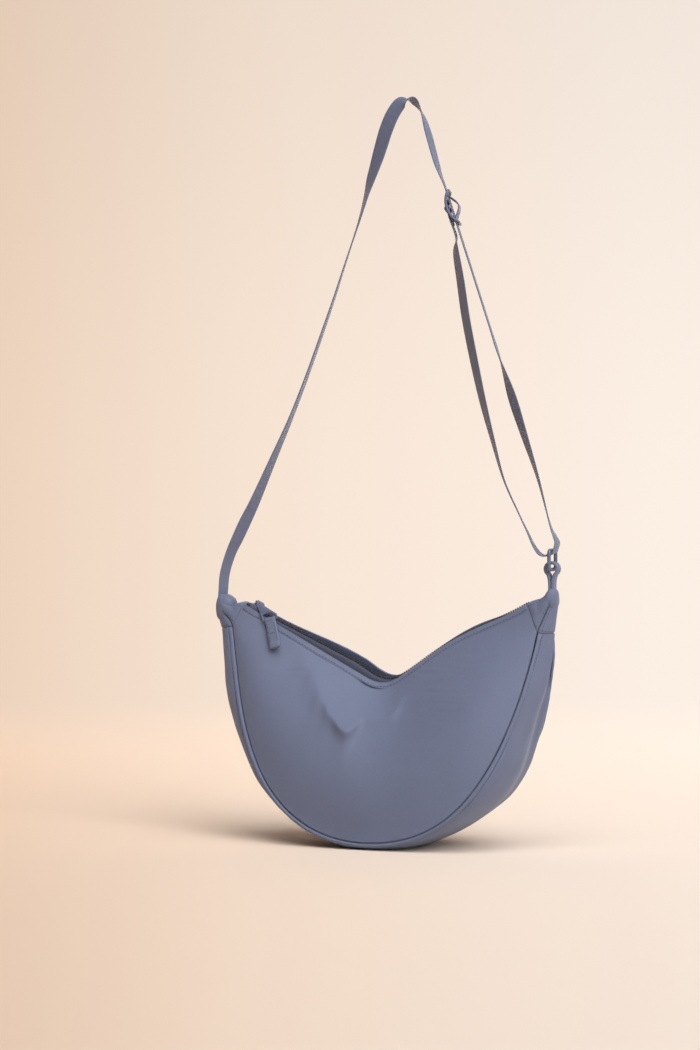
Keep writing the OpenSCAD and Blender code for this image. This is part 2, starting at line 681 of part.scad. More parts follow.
// Fabric pull tab folded round the link's bar, sewn flat, with a thick turned end
module pull_tab() {
    end_l = 5;
    color([0.52, 0.54, 0.65])
        translate([bar_x, bar_y, bar_z]) rotate([0, -tab_skew, 0]) rotate([-tab_lean, 0, 0])
        translate([-tab_w/2, 0, 0]) difference() {
            union() {
                rotate([0, 90, 0]) cylinder(d = tab_fold_d, h = tab_w, $fn = fine);
                translate([0, -tab_t/2, -tab_l]) cube([tab_w, tab_t, tab_l]);
                translate([0, -tab_end_t + tab_t/2, -tab_l]) cube([tab_w, tab_end_t, end_l]);
            }
            translate([-cut, 0, 0]) rotate([0, 90, 0]) cylinder(d = tab_hole_d, h = tab_w + 2*cut, $fn = fine);
        }
}

// Ribbon: stations of [point, turn, half width], with the webbing's width square to its run
function place(r) = [half_span*r[0], strap_w*r[1], left_root[2] + strap_rise*r[2], r[3]];
function spline(a, b, c, d, t) =
    0.5*(2*b + (c - a)*t + (2*a - 5*b + 4*c - d)*t*t + (3*b - a - 3*c + d)*t*t*t);
function smoothed(p) =
    [for (i = [0:len(p) - 2]) for (k = [0:smooth_steps - 1])
        spline(p[max(0, i - 1)], p[i], p[i + 1], p[min(len(p) - 1, i + 2)], k/smooth_steps)];
function xyz(p) = [p[0], p[1], p[2]];
function run_dir(p, i) =
    unit(xyz(p[min(len(p) - 1, i + 1)]) - xyz(p[max(0, i - 1)]));
function width_dir(turn, t) =
    let (w = [sin(turn), cos(turn), 0]) unit(w - (w*t)*t);
function ribbon_loops(p, half) =
    [for (i = [0:len(p) - 1])
        let (t = run_dir(p, i), w = width_dir(p[i][3], t)*half[i], n = cross(t, w/half[i])*strap_t/2,
            c = xyz(p[i]))
        [c + w + n, c - w + n, c - w - n, c + w - n]];

strand_pts = [for (s = concat(straight_shares, [for (r = twist_shares) each r[0] > 0.58 ? [r[0]] : []]))
    let (p = strand_top + strand_dir*strand_l*s,
        turn = strand_turn + (s > 0.58 ? twist_most*smooth_table(twist_shares, s) : 0))
    [p[0], p[1], p[2], turn]];
turn_pts = [for (a = [0:-22.5:-90])
    let (p = ring_top + turn_r*[cos(a), 0, sin(a)]) [p[0], p[1], p[2], 0]];
leg_pts = [for (r = route_shares) place(r)];
approach_pts = [for (r = approach_shares) place([r[0], 0, r[1], r[2]])];
main_pts = concat(smoothed(concat(leg_pts, strand_pts, approach_pts, [turn_pts[0]])), turn_pts);
root_turns = [80, 60, 40, 20];
root_dir = run_dir(main_pts, 0);
root_pts = [for (a = root_turns)
    let (p = xyz(main_pts[0]) - root_dir*strap_w/2*sin(a)) [p[0], p[1], p[2], main_pts[0][3]]];
strap_pts = concat(root_pts, main_pts);
strap_half = concat([for (a = root_turns) strap_w/2*cos(a)], [for (p = main_pts) strap_w/2]);

module strap() {
    color([0.48, 0.50, 0.57]) tube(ribbon_loops(strap_pts, strap_half));
}

// The strand that comes back up from the ring to the adjuster
fold_end = adjuster_at + strand_dir*end_fold_l - (mid_in + strap_t/2)*[cos(strand_lean), 0, sin(strand_lean)];
return_start = [for (a = [-95, -108])
    let (p = ring_top + turn_r*[cos(a), 0, sin(a)]) [p[0], p[1], p[2], 0]];
return_end = [for (d = [0.8*end_fold_l, root_gap]) let (p = fold_end + strand_dir*d) [p[0], p[1], p[2], strand_turn]];
return_rows = concat(return_start, [for (r = return_shares) place([r[0], 0, r[1], r[2]])], return_end);
return_pts = concat(smoothed(return_rows), [return_end[1]]);

module strap_return() {
    color([0.40, 0.41, 0.48])
        tube(ribbon_loops(return_pts, [for (p = return_pts) strap_w/2]));
}

// Adjuster on the straight strand: x outwards, y along the webbing's width, z up the strand
module on_strand() {
    translate(adjuster_at) rotate([0, -strand_lean, 0])
        rotate([0, 0, -atan(cos(strand_lean)*tan(strand_turn))]) children();
}

module along_width(w) {
    translate([0, w/2, 0]) rotate([90, 0, 0]) linear_extrude(w) children();
}

module adjuster_rail() {
    sag = bar_out + mid_in;
    r = (end_bar_z*end_bar_z + sag*sag)/(2*sag);
    along_width(rail_t) intersection() {
        translate([r - mid_in, 0]) difference() {
            circle(r = r + rail_t/2, $fn = 3*fine);
            circle(r = r - rail_t/2, $fn = 3*fine);
        }
        translate([-2*sag, -adjuster_l/2]) square([3.2*sag, adjuster_l]);
    }
}

module adjuster_bar(x, z) {
    w = 2*rail_gap + rail_t;
    translate([x, w/2, z]) rotate([90, 0, 0]) cylinder(d = adjuster_bar_d, h = w, $fn = fine);
}

module strap_adjuster() {
    color([0.44, 0.45, 0.53]) on_strand() {
        for (side = [-1, 1])
            translate([0, side*(rail_gap + rail_t/2), 0]) adjuster_rail();
        adjuster_bar(bar_out, end_bar_z);
        adjuster_bar(bar_out, -end_bar_z);
        adjuster_bar(-mid_in, 0);
    }
}

// Sewn end of the webbing, folded round the middle bar
module strap_end_loop() {
    color([0.36, 0.37, 0.44]) on_strand() translate([-mid_in, 0, 0]) along_width(strap_w) difference() {
        union() {
            circle(r = fold_r + strap_t, $fn = fine);
            translate([-strap_t, -end_fold_l]) square([2*strap_t, end_fold_l]);
        }
        circle(r = fold_r, $fn = fine);
    }
}

// Ring: four bars with rounded corners, standing across the strap's width
module strap_ring() {
    corner = 0.8*ring_wire;
    half_w = ring_in/2 + ring_wire/2;
    color([0.42, 0.43, 0.51]) translate(ring_top - [0, 0, ring_h/2]) {
        for (s = [-1, 1]) {
            translate([0, -half_w + corner, s*ring_h/2]) rotate([-90, 0, 0])
                cylinder(d = ring_wire, h = 2*(half_w - corner), $fn = fine);
            translate([0, s*half_w, -ring_h/2 + corner]) cylinder(d = ring_wire, h = ring_h - 2*corner, $fn = fine);
        }
        for (s = [-1, 1]) for (t = [-1, 1])
            translate([0, s*(half_w - corner), t*(ring_h/2 - corner)]) rotate([0, 90, 0])
                rotate([0, 0, t > 0 ? (s > 0 ? 90 : 180) : (s > 0 ? 0 : -90)])
                rotate_extrude(angle = 90, $fn = wire_fine)
                translate([corner, 0]) circle(d = ring_wire, $fn = fine);
    }
}

// Fabric loop that holds the ring, on a stem with a round root
module ring_loop() {
    eye_r = 4.4;
    eye_rise = 0.5;
    eye_z = ring_drop + eye_rise;
    stem = 2.5;
    color([0.49, 0.51, 0.61]) translate(right_root) {
        along_width(loop_w) difference() {
            hull() {
                translate([0, eye_z]) circle(r = eye_r + loop_t, $fn = fine);
                translate([0, stem]) circle(r = loop_t*1.1, $fn = fine);
            }
            translate([0, eye_z]) circle(r = eye_r, $fn = fine);
        }
        intersection() {
            translate([-loop_t, -loop_w/2, -loop_w/2]) cube([2*loop_t, loop_w, loop_w/2 + stem]);
            union() {
                rotate([0, 90 - swing_tilt, 0])
                    cylinder(d = loop_w, h = loop_w, center = true, $fn = 2*fine);
                translate([-loop_w/2, -loop_w/2, 0]) cube([loop_w, loop_w, loop_w]);
            }
        }
    }
}

front_panel();
back_panel();
gusset();
front_welt();
back_welt();
front_hem();
back_hem();
front_zip_tape();
back_zip_tape();
front_zip_teeth();
back_zip_teeth();
front_lining();
back_lining();
gusset_lining();
left_cap_front();
left_cap_side();
left_cap_back();
left_cap_top();
left_strap_tab();
right_cap_front();
right_cap_side();
right_cap_back();
right_cap_top();
right_loop_tab();
zip_slider_body();
pull_link();
pull_tab();
strap();
strap_return();
strap_end_loop();
ring_loop();
strap_ring();
strap_adjuster();
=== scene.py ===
import math

import bpy
import numpy as np
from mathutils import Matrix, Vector


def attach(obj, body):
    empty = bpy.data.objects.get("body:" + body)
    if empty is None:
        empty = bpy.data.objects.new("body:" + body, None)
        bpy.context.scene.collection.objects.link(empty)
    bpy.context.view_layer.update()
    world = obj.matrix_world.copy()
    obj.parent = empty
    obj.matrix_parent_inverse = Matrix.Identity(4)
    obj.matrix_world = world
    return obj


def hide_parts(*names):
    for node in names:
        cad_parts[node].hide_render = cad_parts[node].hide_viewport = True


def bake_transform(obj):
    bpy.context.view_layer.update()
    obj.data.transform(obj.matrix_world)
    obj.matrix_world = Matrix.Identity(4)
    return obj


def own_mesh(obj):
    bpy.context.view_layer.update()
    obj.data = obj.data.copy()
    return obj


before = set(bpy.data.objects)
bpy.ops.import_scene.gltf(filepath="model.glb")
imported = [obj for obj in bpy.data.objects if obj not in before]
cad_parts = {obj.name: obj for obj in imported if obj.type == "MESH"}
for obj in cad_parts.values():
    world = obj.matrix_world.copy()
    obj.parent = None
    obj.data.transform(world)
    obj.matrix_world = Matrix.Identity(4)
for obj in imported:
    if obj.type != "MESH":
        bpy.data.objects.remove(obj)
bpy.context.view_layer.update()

MM = 0.001
PI = math.pi
SIDES = ((-1, "front"), (1, "back"))

# --- shape of the bag, in millimetres
# m runs from -1 at the mouth's left end to 1 at its right end, c from 0 at the front's mouth edge over
# the front seam (1) and the back seam (2) to the back's mouth edge (3).
# Seam: spacing and height of its tips, depth at base and tips, lowest height.
BAG_W, TIP_Z, BASE_D, TIP_D, LIFT = 316.0, 232.0, 108.0, 17.0, 6.5
# Seam's curve: reach along the base and up the flank, the right side's extra, and its lean.
BASE_REACH, FLANK_REACH, RIGHT_FULL, LEAN = 117.0, 96.0, 4.0, math.radians(9)
# Swell of side band and panels, the panels' belly, the right flank's flare, and the belly's powers.
G_BULGE, P_BULGE, BELLY, FLARE = 22.0, 6.0, 15.0, 12.0
BELLY_DOWN, BELLY_ALONG = 1.5, 1.3
# Mouth: width, height in the middle and at its ends, gap, rounding of its dip.
MOUTH_W, MOUTH_LOW, MOUTH_END, MOUTH_GAP, MOUTH_ROUND = 284.0, 152.5, 224.0, 16.0, 16.0
RIGHT_SHOULDER, END_LIFT, BACK_RISE = 7.0, 4.0, 13.0
# Cloth that slumps under the mouth's dip: how far out, how it fades below, its power and shift.
SLUMP, SLUMP_FADE, FOLD_POWER, FOLD_SHIFT = 15.0, 55.0, 1.55, 0.04
CLOTH, SEAM_GAP = 1.2, 0.2
WELT_W, WELT_T, WELT_AT, HEM_W, HEM_T = 3.6, 0.9, 0.7, 5.5, 0.4
SLIDER_X, ZIP_RISE = 131.0, 6.5
CAP_SHARE = 0.9
# Swell, right side's extra swell and flare, by the share of the way down from the tips.
BULGES = [[0, 0.62], [0.12, 0.68], [0.43, 1], [0.68, 0.85], [0.88, 0.55], [1, 0.5]]
RIGHT_SWELL = [[0, -0.15], [0.75, 0.12], [0.95, -0.1], [1, 0]]
FLARES = [[0, 0], [0.1, 0.4], [0.25, 1], [0.5, 1], [0.68, 0.3], [0.85, 0], [1, 0]]
# By m: how much higher the back's mouth edge is; the slump's crest line, lift, width, softness and fade.
BACK_RISES = [[-1, 0.08], [-0.86, 0.26], [-0.17, 1], [0.15, 0.25], [0.6, 0.35], [1, 0.1]]
FOLDS = [[-0.8, 0.02], [-0.7, 0.06], [-0.62, 0.13], [-0.515, 0.32], [-0.425, 0.53], [-0.34, 0.74],
         [-0.25, 0.94], [-0.175, 1.06], [-0.125, 1.08], [-0.108, 0.86], [-0.092, 0.7], [-0.05, 0.72],
         [0.015, 0.73], [0.075, 0.75], [0.11, 0.57], [0.15, 0.41], [0.2, 0.3], [0.295, 0.26], [0.42, 0.2]]
FOLD_LIFTS = [[-0.78, 0], [-0.55, 1], [-0.1, 1], [0.22, 0.3], [0.6, 0]]
FOLD_WIDE = [[-0.8, 0], [-0.3, 0.8], [-0.1, 1], [0.2, 0.8], [0.8, 0]]
FOLD_SOFT = [[-0.7, 7.0], [-0.35, 6.0], [-0.17, 3.0], [0.1, 2.6], [0.2, 3.6], [0.5, 5.0]]
FOLD_FADES = [[-0.7, 30], [-0.35, 22], [-0.15, 9], [0.1, 9], [0.25, 16], [0.5, 26]]
FOLD_DEEP = 0.325 * MOUTH_W / 2
MOUTH_K = (MOUTH_END - MOUTH_LOW) / (MOUTH_W / 2 - MOUTH_ROUND / 2)
ZIP_BEND, ZIP_FLAT = 0.22 * MOUTH_W / 2, 0.2 * MOUTH_W / 2
ZIP_K = ZIP_RISE / (SLIDER_X - ZIP_BEND)


def ease(t):
    return (1 - np.cos(PI * t)) / 2


def table(rows, t):
    xs = np.array([r[0] for r in rows], float)
    ys = np.array([r[1] for r in rows], float)
    t = np.clip(np.asarray(t, float), xs[0], xs[-1])
    i = np.clip(np.searchsorted(xs, t, side="right") - 1, 0, len(xs) - 2)
    f = (t - xs[i]) / (xs[i + 1] - xs[i])
    return ys[i] + (ys[i + 1] - ys[i]) * ease(f)


SOFT_TABLES = {}


def blurred(rows, m, wide):
    """A table read with a soft eye, over `wide` to each side."""
    key = (str(rows), wide)
    if key not in SOFT_TABLES:
        at = np.linspace(-1.5, 1.5, 1501)
        ks = np.linspace(-0.96, 0.96, 25)
        ws = 1 + np.cos(PI * ks)
        SOFT_TABLES[key] = at, sum(w * table(rows, at + k * wide) for k, w in zip(ks, ws / ws.sum()))
    return np.interp(m, *SOFT_TABLES[key])


def unit(v):
    return v / np.maximum(np.linalg.norm(v, axis=-1, keepdims=True), 1e-12)


def vec(*c):
    return np.stack(np.broadcast_arrays(*[np.asarray(x, float) for x in c]), -1)


def seam_xz(u):
    u = np.asarray(u, float)
    t = np.abs(u)[..., None]
    more = np.where(u > 0, RIGHT_FULL, 0.0)
    f = FLANK_REACH + more
    p0 = vec(0 * f, 0 * f + LIFT)
    p1 = vec(BASE_REACH + more, 0 * f + LIFT)
    p2 = vec(BAG_W / 2 - f * math.sin(LEAN), TIP_Z - f * math.cos(LEAN))
    p3 = vec(0 * f + BAG_W / 2, 0 * f + TIP_Z)
    p = (1 - t) ** 3 * p0 + 3 * (1 - t) ** 2 * t * p1 + 3 * (1 - t) * t ** 2 * p2 + t ** 3 * p3
    return np.sign(u) * p[..., 0], p[..., 1]


def seam_out(u):
    e = 0.01
    ax, az = seam_xz(np.maximum(-1, u - e))
    bx, bz = seam_xz(np.minimum(1, u + e))
    d = unit(vec(bx - ax, bz - az))
    return d[..., 1], -d[..., 0]


def down_share(z):
    return (TIP_Z - z) / (TIP_Z - LIFT)


def half_depth(z):
    return TIP_D / 2 + (BASE_D - TIP_D) / 2 * ease(np.clip(down_share(z), 0, 1))


def flare_share(z, u):
    return np.where(u > 0, blurred(FLARES, down_share(z), 0.05), 0)


def bulge(z, u):
    down = down_share(z)
    swell = blurred(BULGES, down, 0.05) + np.where(u > 0, blurred(RIGHT_SWELL, down, 0.05), 0)
    return G_BULGE * swell * (1 - 0.8 * flare_share(z, u))


def mouth_z(m):
    a = np.abs(m) * MOUTH_W / 2
    low = np.where(a < MOUTH_ROUND, a * a / (2 * MOUTH_ROUND), a - MOUTH_ROUND / 2)
    right = RIGHT_SHOULDER * np.sin(PI * m) ** 2 + END_LIFT * m * m
    return MOUTH_LOW + MOUTH_K * low + np.where(m > 0, right, 0)


def edge_rise(m, side):
    return BACK_RISE * table(BACK_RISES, m) if side > 0 else 0 * m


def mouth_pt(m, side):
    return vec(m * MOUTH_W / 2, side * MOUTH_GAP / 2, mouth_z(m) + edge_rise(m, side))


def slump_out(m, down):
    """How far the front leans out under the mouth: up to a crest line, then back over a long way."""
    at = m - FOLD_SHIFT
    crest = np.maximum(FOLD_DEEP * blurred(FOLDS, at, 0.04), 0.5)
    even = FOLD_DEEP * blurred(FOLDS, at, 0.2)
    lift = SLUMP * blurred(FOLD_LIFTS, m, 0.1)
    near = lift * (np.maximum(down, 0.001) / FOLD_DEEP) ** FOLD_POWER
    high = lift * (crest / FOLD_DEEP) ** FOLD_POWER
    wide = np.minimum(0.55 * SLUMP * blurred(FOLD_WIDE, m, 0.1),
                      0.65 * lift * (even / FOLD_DEEP) ** FOLD_POWER)
    past = down - crest
    far = wide * np.exp(-np.maximum(down - even, 0) / SLUMP_FADE)
    far = far + (high - wide) * np.exp(-np.maximum(past, 0) / table(FOLD_FADES, m))
    w = 1 / (1 + np.exp(-np.clip(past / table(FOLD_SOFT, m), -30, 30)))
    return near * (1 - w) + far * w


def panel_pt(m, v, side):
    """A point of the front (-1) or back (1) panel, the share v of the way down from its mouth edge."""
    qx, qz = seam_xz(m * CAP_SHARE)
    f = FLARE * flare_share(qz, m) if side > 0 else 0
    s = vec(qx + f, side * half_depth(qz), qz)
    p = mouth_pt(m, side)
    out = p + (s - p) * v[..., None]
    y = side * P_BULGE * np.sin(PI * v * v) * np.cos(math.radians(80) * m)
    belly = np.clip(np.sin(PI * v), 0, 1) ** BELLY_DOWN * np.clip(np.cos(PI / 2 * m), 0, 1) ** BELLY_ALONG
    y = y + side * BELLY * belly
    if side < 0:
        y = y - slump_out(m, v * np.linalg.norm(s - p, axis=-1)) * (1 - v ** 4)
    out[..., 1] += y
    return out


def gusset_pt(m, a):
    u = m * CAP_SHARE
    qx, qz = seam_xz(u)
    nx, nz = seam_out(u)
    b = bulge(qz, u) * np.sin(a)
    f = FLARE * flare_share(qz, u) * ease(a / PI)
    return vec(qx + nx * b + f, -half_depth(qz) * np.cos(a), np.maximum(0, qz + nz * b))


def skin_pt(m, c):
    m, c = [np.array(x, float) for x in np.broadcast_arrays(m, c)]
    out = np.empty(m.shape + (3,))
    f, b = c <= 1, c >= 2
    g = ~f & ~b
    out[f] = panel_pt(m[f], c[f], -1)
    out[b] = panel_pt(m[b], 3 - c[b], 1)
    out[g] = gusset_pt(m[g], PI * (c[g] - 1))
    return out


def skin(m, c, lo=0.0, hi=3.0, e=0.006, f=0.006):
    """Points of the bag's skin and their outward normals, measured between c = lo and hi."""
    m0, m1 = np.maximum(-1, m - e), np.minimum(1, m + e)
    c0, c1 = np.maximum(lo, c - f), np.minimum(hi, c + f)
    over, along = skin_pt(m, c1) - skin_pt(m, c0), skin_pt(m1, c) - skin_pt(m0, c)
    return skin_pt(m, c), unit(np.cross(over, along))


# --- meshes
# materials that aren't named after their slot, or have none
SLOTS = {"band_cloth": "shell_cloth", "thread": None}


def add(name, data):
    ob = bpy.data.objects.new(name, data)
    bpy.context.scene.collection.objects.link(ob)
    return ob


def finish_mesh(name, verts, faces, mat, body, uv=None, sharp=50, nodes=(), slot=None):
    """A closed mesh from points in millimetres, with its look, its cloth lengths and body; it hides the CAD
    nodes it stands for, and its slot is worked out but not used.
    """
    verts = np.asarray(verts).reshape(-1, 3)
    me = bpy.data.meshes.new(name)
    me.from_pydata((verts * MM).tolist(), [], outward(verts, faces))
    me.validate()
    ob = add(name, me)
    me.materials.append(mat)
    if uv is not None:
        layer = me.uv_layers.new(name="cloth")
        idx = np.empty(len(me.loops), dtype=np.int32)
        me.loops.foreach_get("vertex_index", idx)
        layer.data.foreach_set("uv", (np.asarray(uv).reshape(-1, 2)[idx] * MM).astype(np.float32).ravel())
    me.shade_smooth()
    me.set_sharp_from_angle(angle=math.radians(sharp))
    if body:
        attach(ob, body)
    if nodes:
        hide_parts(*nodes)
    look = mat.name.split(".")[0]
    slot = slot or SLOTS.get(look, look)
    return ob


def sheet_faces(r, c):
    n = r * c
    i, j = np.meshgrid(np.arange(r - 1), np.arange(c - 1), indexing="ij")
    a = (i * c + j).ravel()
    top = np.stack([a, a + 1, a + c + 1, a + c], 1)
    bot = np.stack([n + a, n + a + c, n + a + c + 1, n + a + 1], 1)
    e = np.arange(r - 1) * c
    k = e + c - 1
    left = np.stack([e, e + c, n + e + c, n + e], 1)
    right = np.stack([k + c, k, n + k, n + k + c], 1)
    f = np.arange(c - 1)
    g = (r - 1) * c + f
    low = np.stack([f + 1, f, n + f, n + f + 1], 1)
    high = np.stack([g, g + 1, n + g + 1, n + g], 1)
    return np.concatenate([top, bot, left, right, low, high]).tolist()


def tube_faces(r, k, closed=False):
    rows = r if closed else r - 1
    i, j = np.meshgrid(np.arange(rows), np.arange(k), indexing="ij")
    a = (i * k + j).ravel()
    b = (i * k + (j + 1) % k).ravel()
    c = ((i + 1) % r * k + (j + 1) % k).ravel()
    d = ((i + 1) % r * k + j).ravel()
    faces = np.stack([a, b, c, d], 1).tolist()
    if not closed:
        faces.append(list(range(k - 1, -1, -1)))
        faces.append([(r - 1) * k + q for q in range(k)])
    return faces


def outward(verts, faces):
    """The faces, turned so that the closed mesh has a positive volume."""
    v = verts - np.mean(verts, 0)
    vol = 0.0
    for size in {len(f) for f in faces}:
        f = v[np.array([q for q in faces if len(q) == size])]
        for k in range(1, size - 1):
            vol += np.einsum("ij,ij->i", f[:, 0], np.cross(f[:, k], f[:, k + 1])).sum()
    return [f[::-1] for f in faces] if vol < 0 else faces


def sheet(name, P, N, outer, inner, mat, body="bag", above=None, **kw):
    """Cloth over a grid of points: its two faces at lifts along the normals, held above two heights."""
    both = [P + N * np.asarray(h)[..., None] for h in (outer, inner)]
    for face, z in zip(both, above or ()):
        face[..., 2] = np.maximum(face[..., 2], z)
    return finish_mesh(name, both, sheet_faces(*P.shape[:2]), mat, body, [cloth_uv(P)] * 2, **kw)


def tube(name, loops, mat, body, uv=None, closed=False, **kw):
    r, k = np.shape(loops)[:2]
    return finish_mesh(name, loops, tube_faces(r, k, closed), mat, body, uv, **kw)


def arc(points):
    """Length along a row of points, from 0."""
    d = np.linalg.norm(np.diff(points, axis=0), axis=-1)
    return np.concatenate([[0], np.cumsum(d)])


def cloth_uv(P):
    """Lengths along both ways of a grid of points, from its middle line."""
    du = np.linalg.norm(np.diff(P, axis=0), axis=-1)
    dv = np.linalg.norm(np.diff(P, axis=1), axis=-1)
    u = np.concatenate([np.zeros((1, P.shape[1])), np.cumsum(du, 0)])
    v = np.concatenate([np.zeros((P.shape[0], 1)), np.cumsum(dv, 1)], 1)
    u -= u[len(u) // 2]
    return np.stack([u, v], -1)


def grid_uv(us, vs):
    """Lengths for a grid of points, us along its rows and vs along its columns."""
    return np.stack(np.meshgrid(us, vs, indexing="ij"), -1)


def oval(th, px, pz):
    """A rounded rectangle at angles th, from -1 to 1 both ways; low powers give square corners."""
    cx, cz = np.cos(th), np.sin(th)
    return np.sign(cx) * np.abs(cx) ** px, np.sign(cz) * np.abs(cz) ** pz


def around(count):
    return np.linspace(0, 2 * PI, count, endpoint=False)


def wobble(p, scale, seed, octaves=3):
    """Smooth seeded noise at points, about -1 to 1, with features of about `scale` millimetres."""
    rng = np.random.default_rng(seed)
    out = np.zeros(p.shape[:-1])
    amp, total = 1.0, 0.0
    for o in range(octaves):
        for _ in range(5):
            k = rng.normal(size=p.shape[-1])
            k = k / np.linalg.norm(k) * 2 * PI / (scale / 2 ** o) * rng.uniform(0.7, 1.3)
            out += amp * np.sin(p @ k + rng.uniform(0, 2 * PI)) / 5 ** 0.5
        total += amp
        amp *= 0.5
    return out / total


# --- materials
def node(tree, kind, sockets=(), **values):
    """A shader node; `sockets` has its inputs by name or number, constants or outputs to link."""
    n = tree.nodes.new(kind)
    for k, v in values.items():
        setattr(n, k, v)
    for k, v in dict(sockets).items():
        if isinstance(v, bpy.types.NodeSocket):
            tree.links.new(v, n.inputs[k])
        else:
            n.inputs[k].default_value = v
    return n


def math_node(tree, op, *values):
    return node(tree, "ShaderNodeMath", enumerate(values), operation=op).outputs[0]


def noise(tree, at, scale, detail=2):
    return node(tree, "ShaderNodeTexNoise", {"Vector": at, "Scale": scale, "Detail": detail}).outputs[0]


def bump(tree, height, strength, distance, under=None):
    sockets = {"Height": height, "Strength": strength, "Distance": distance}
    if under is not None:
        sockets["Normal"] = under
    return node(tree, "ShaderNodeBump", sockets).outputs[0]


def map_range(tree, value, from_min, from_max, to_min=0.0, to_max=1.0, kind="SMOOTHSTEP"):
    sockets = {"Value": value, "From Min": from_min, "From Max": from_max, "To Min": to_min, "To Max": to_max}
    return node(tree, "ShaderNodeMapRange", sockets, interpolation_type=kind).outputs[0]


def scaled(tree, color, share):
    return node(tree, "ShaderNodeVectorMath", {0: color, "Scale": share}, operation="SCALE").outputs[0]


def material(name, color, rough, sheen=0.0, spec=0.5):
    mat = bpy.data.materials.new(name)
    mat.use_nodes = True
    b = mat.node_tree.nodes["Principled BSDF"]
    for socket, value in (("Base Color", (*color, 1)), ("Roughness", rough), ("Specular IOR Level", spec),
                          ("Sheen Weight", sheen), ("Sheen Roughness", 0.45),
                          ("Sheen Tint", (0.8, 0.86, 1, 1))):
        b.inputs[socket].default_value = value
    return mat, mat.node_tree, b


# heights in metres over which the cloth's painted shade ramps from darker at the base to paler above
TONE_VARY, PAINTED_SHADE_LOW, PAINTED_SHADE_HIGH = 0.10, 0.02, 0.20


def cloth(name, color, rough=0.62, sheen=0.25, yarn=0.55, weave=0.35, crumple=0.25, crumple_scale=60,
          rib=0.0, painted_height_shade=0.0):
    """Woven cloth: yarns both ways in real length, slight slubs, soft crumple and uneven tone."""
    mat, tree, b = material(name, color, rough, sheen, spec=0.35)
    uv = node(tree, "ShaderNodeUVMap", uv_map="cloth").outputs[0]
    at = node(tree, "ShaderNodeTexCoord").outputs["Object"]
    u, v, _ = node(tree, "ShaderNodeSeparateXYZ", {0: uv}).outputs
    slub = noise(tree, at, 900)
    k = 2 * PI / (yarn * MM)
    warp = math_node(tree, "SINE", math_node(tree, "MULTIPLY", u, k))
    weft = math_node(tree, "SINE", math_node(tree, "MULTIPLY", v, k * (0.8 if rib else 1)))
    if rib:
        h = math_node(tree, "MULTIPLY_ADD", weft, rib, math_node(tree, "MULTIPLY", warp, 1 - rib))
    else:
        h = math_node(tree, "MULTIPLY", warp, weft)
    h = math_node(tree, "MULTIPLY_ADD", slub, 1.2, h)
    crumpled = bump(tree, noise(tree, at, crumple_scale, 4), crumple, 0.0012)
    tree.links.new(bump(tree, h, weave, 0.00008, crumpled), b.inputs["Normal"])
    tone = noise(tree, at, 14, 6)
    mix = node(tree, "ShaderNodeMix", {0: tone, 6: (*[q * (1 - TONE_VARY) for q in color], 1),
                                       7: (*[q * (1 + TONE_VARY) for q in color], 1)}, data_type="RGBA")
    grain_and_painted_shade = node(tree, "ShaderNodeMix", {0: 0.25, 6: mix.outputs[2],
                                         7: math_node(tree, "MULTIPLY_ADD", slub, 0.8, 0.6)},
                 data_type="RGBA", blend_type="MULTIPLY").outputs[2]
    if painted_height_shade:
        # painted light and shade: the cloth is a little paler towards the mouth and darker at the base, as
        # the light falls from above
        z = node(tree, "ShaderNodeSeparateXYZ", {0: at}).outputs[2]
        grain_and_painted_shade = scaled(tree, grain_and_painted_shade, map_range(tree, z, PAINTED_SHADE_LOW, PAINTED_SHADE_HIGH, 1 - painted_height_shade, 1 + painted_height_shade, "LINEAR"))
    tree.links.new(grain_and_painted_shade, b.inputs["Base Color"])
    tree.links.new(math_node(tree, "MULTIPLY_ADD", tone, 0.16, rough - 0.08), b.inputs["Roughness"])
    return mat


def coated(name, color, rough=0.38):
    """Satin-coated metal with fine orange peel and faint rubbed patches."""
    mat, tree, b = material(name, color, rough)
    peel = noise(tree, node(tree, "ShaderNodeTexCoord").outputs["Object"], 260, 5)
    tree.links.new(bump(tree, peel, 0.12, 0.0002), b.inputs["Normal"])
    tree.links.new(math_node(tree, "MULTIPLY_ADD", peel, 0.2, rough - 0.1), b.inputs["Roughness"])
    return mat


# shell and band cloth carry painted shade, darker at the base and paler towards the mouth
M_SHELL = cloth("shell_cloth", (0.126, 0.151, 0.243), painted_height_shade=0.07)
M_BAND = cloth("band_cloth", (0.127, 0.152, 0.247), crumple=0.2, painted_height_shade=0.08)
M_TRIM = cloth("trim_cloth", (0.133, 0.158, 0.253), crumple=0.3, crumple_scale=120)
M_LINING = cloth("lining_cloth", (0.084, 0.100, 0.162), rough=0.8, sheen=0.1, yarn=0.4)
M_TAPE = cloth("zip_tape_cloth", (0.059, 0.067, 0.106), rough=0.8, sheen=0.1, yarn=0.8)
M_STRAP = cloth("strap_webbing", (0.134, 0.156, 0.247), rough=0.6, sheen=0.3, yarn=0.9, weave=0.6,
                crumple=0.1, rib=0.7)
# partly dark thread and partly painted shade: the stitch lines are darkened for the shade in their holes
M_THREAD = cloth("thread", (0.036, 0.042, 0.068), rough=0.7, yarn=0.3, weave=0.1)
M_METAL = coated("hardware_paint", (0.114, 0.133, 0.214))
M_TEETH = coated("zip_plastic", (0.026, 0.027, 0.037), rough=0.45)


# --- stitches
def short_tubes(name, loops, mat, body, uv=None, **kw):
    """Many short tubes of one make, as one mesh."""
    count, r, k = np.shape(loops)[:3]
    one = tube_faces(r, k)
    faces = [[q * r * k + i for i in f] for q in range(count) for f in one]
    return finish_mesh(name, loops, faces, mat, body, uv, **kw)


THREAD_RINGS, THREAD_SIDES, THREAD_SINK = 5, 6, 0.1


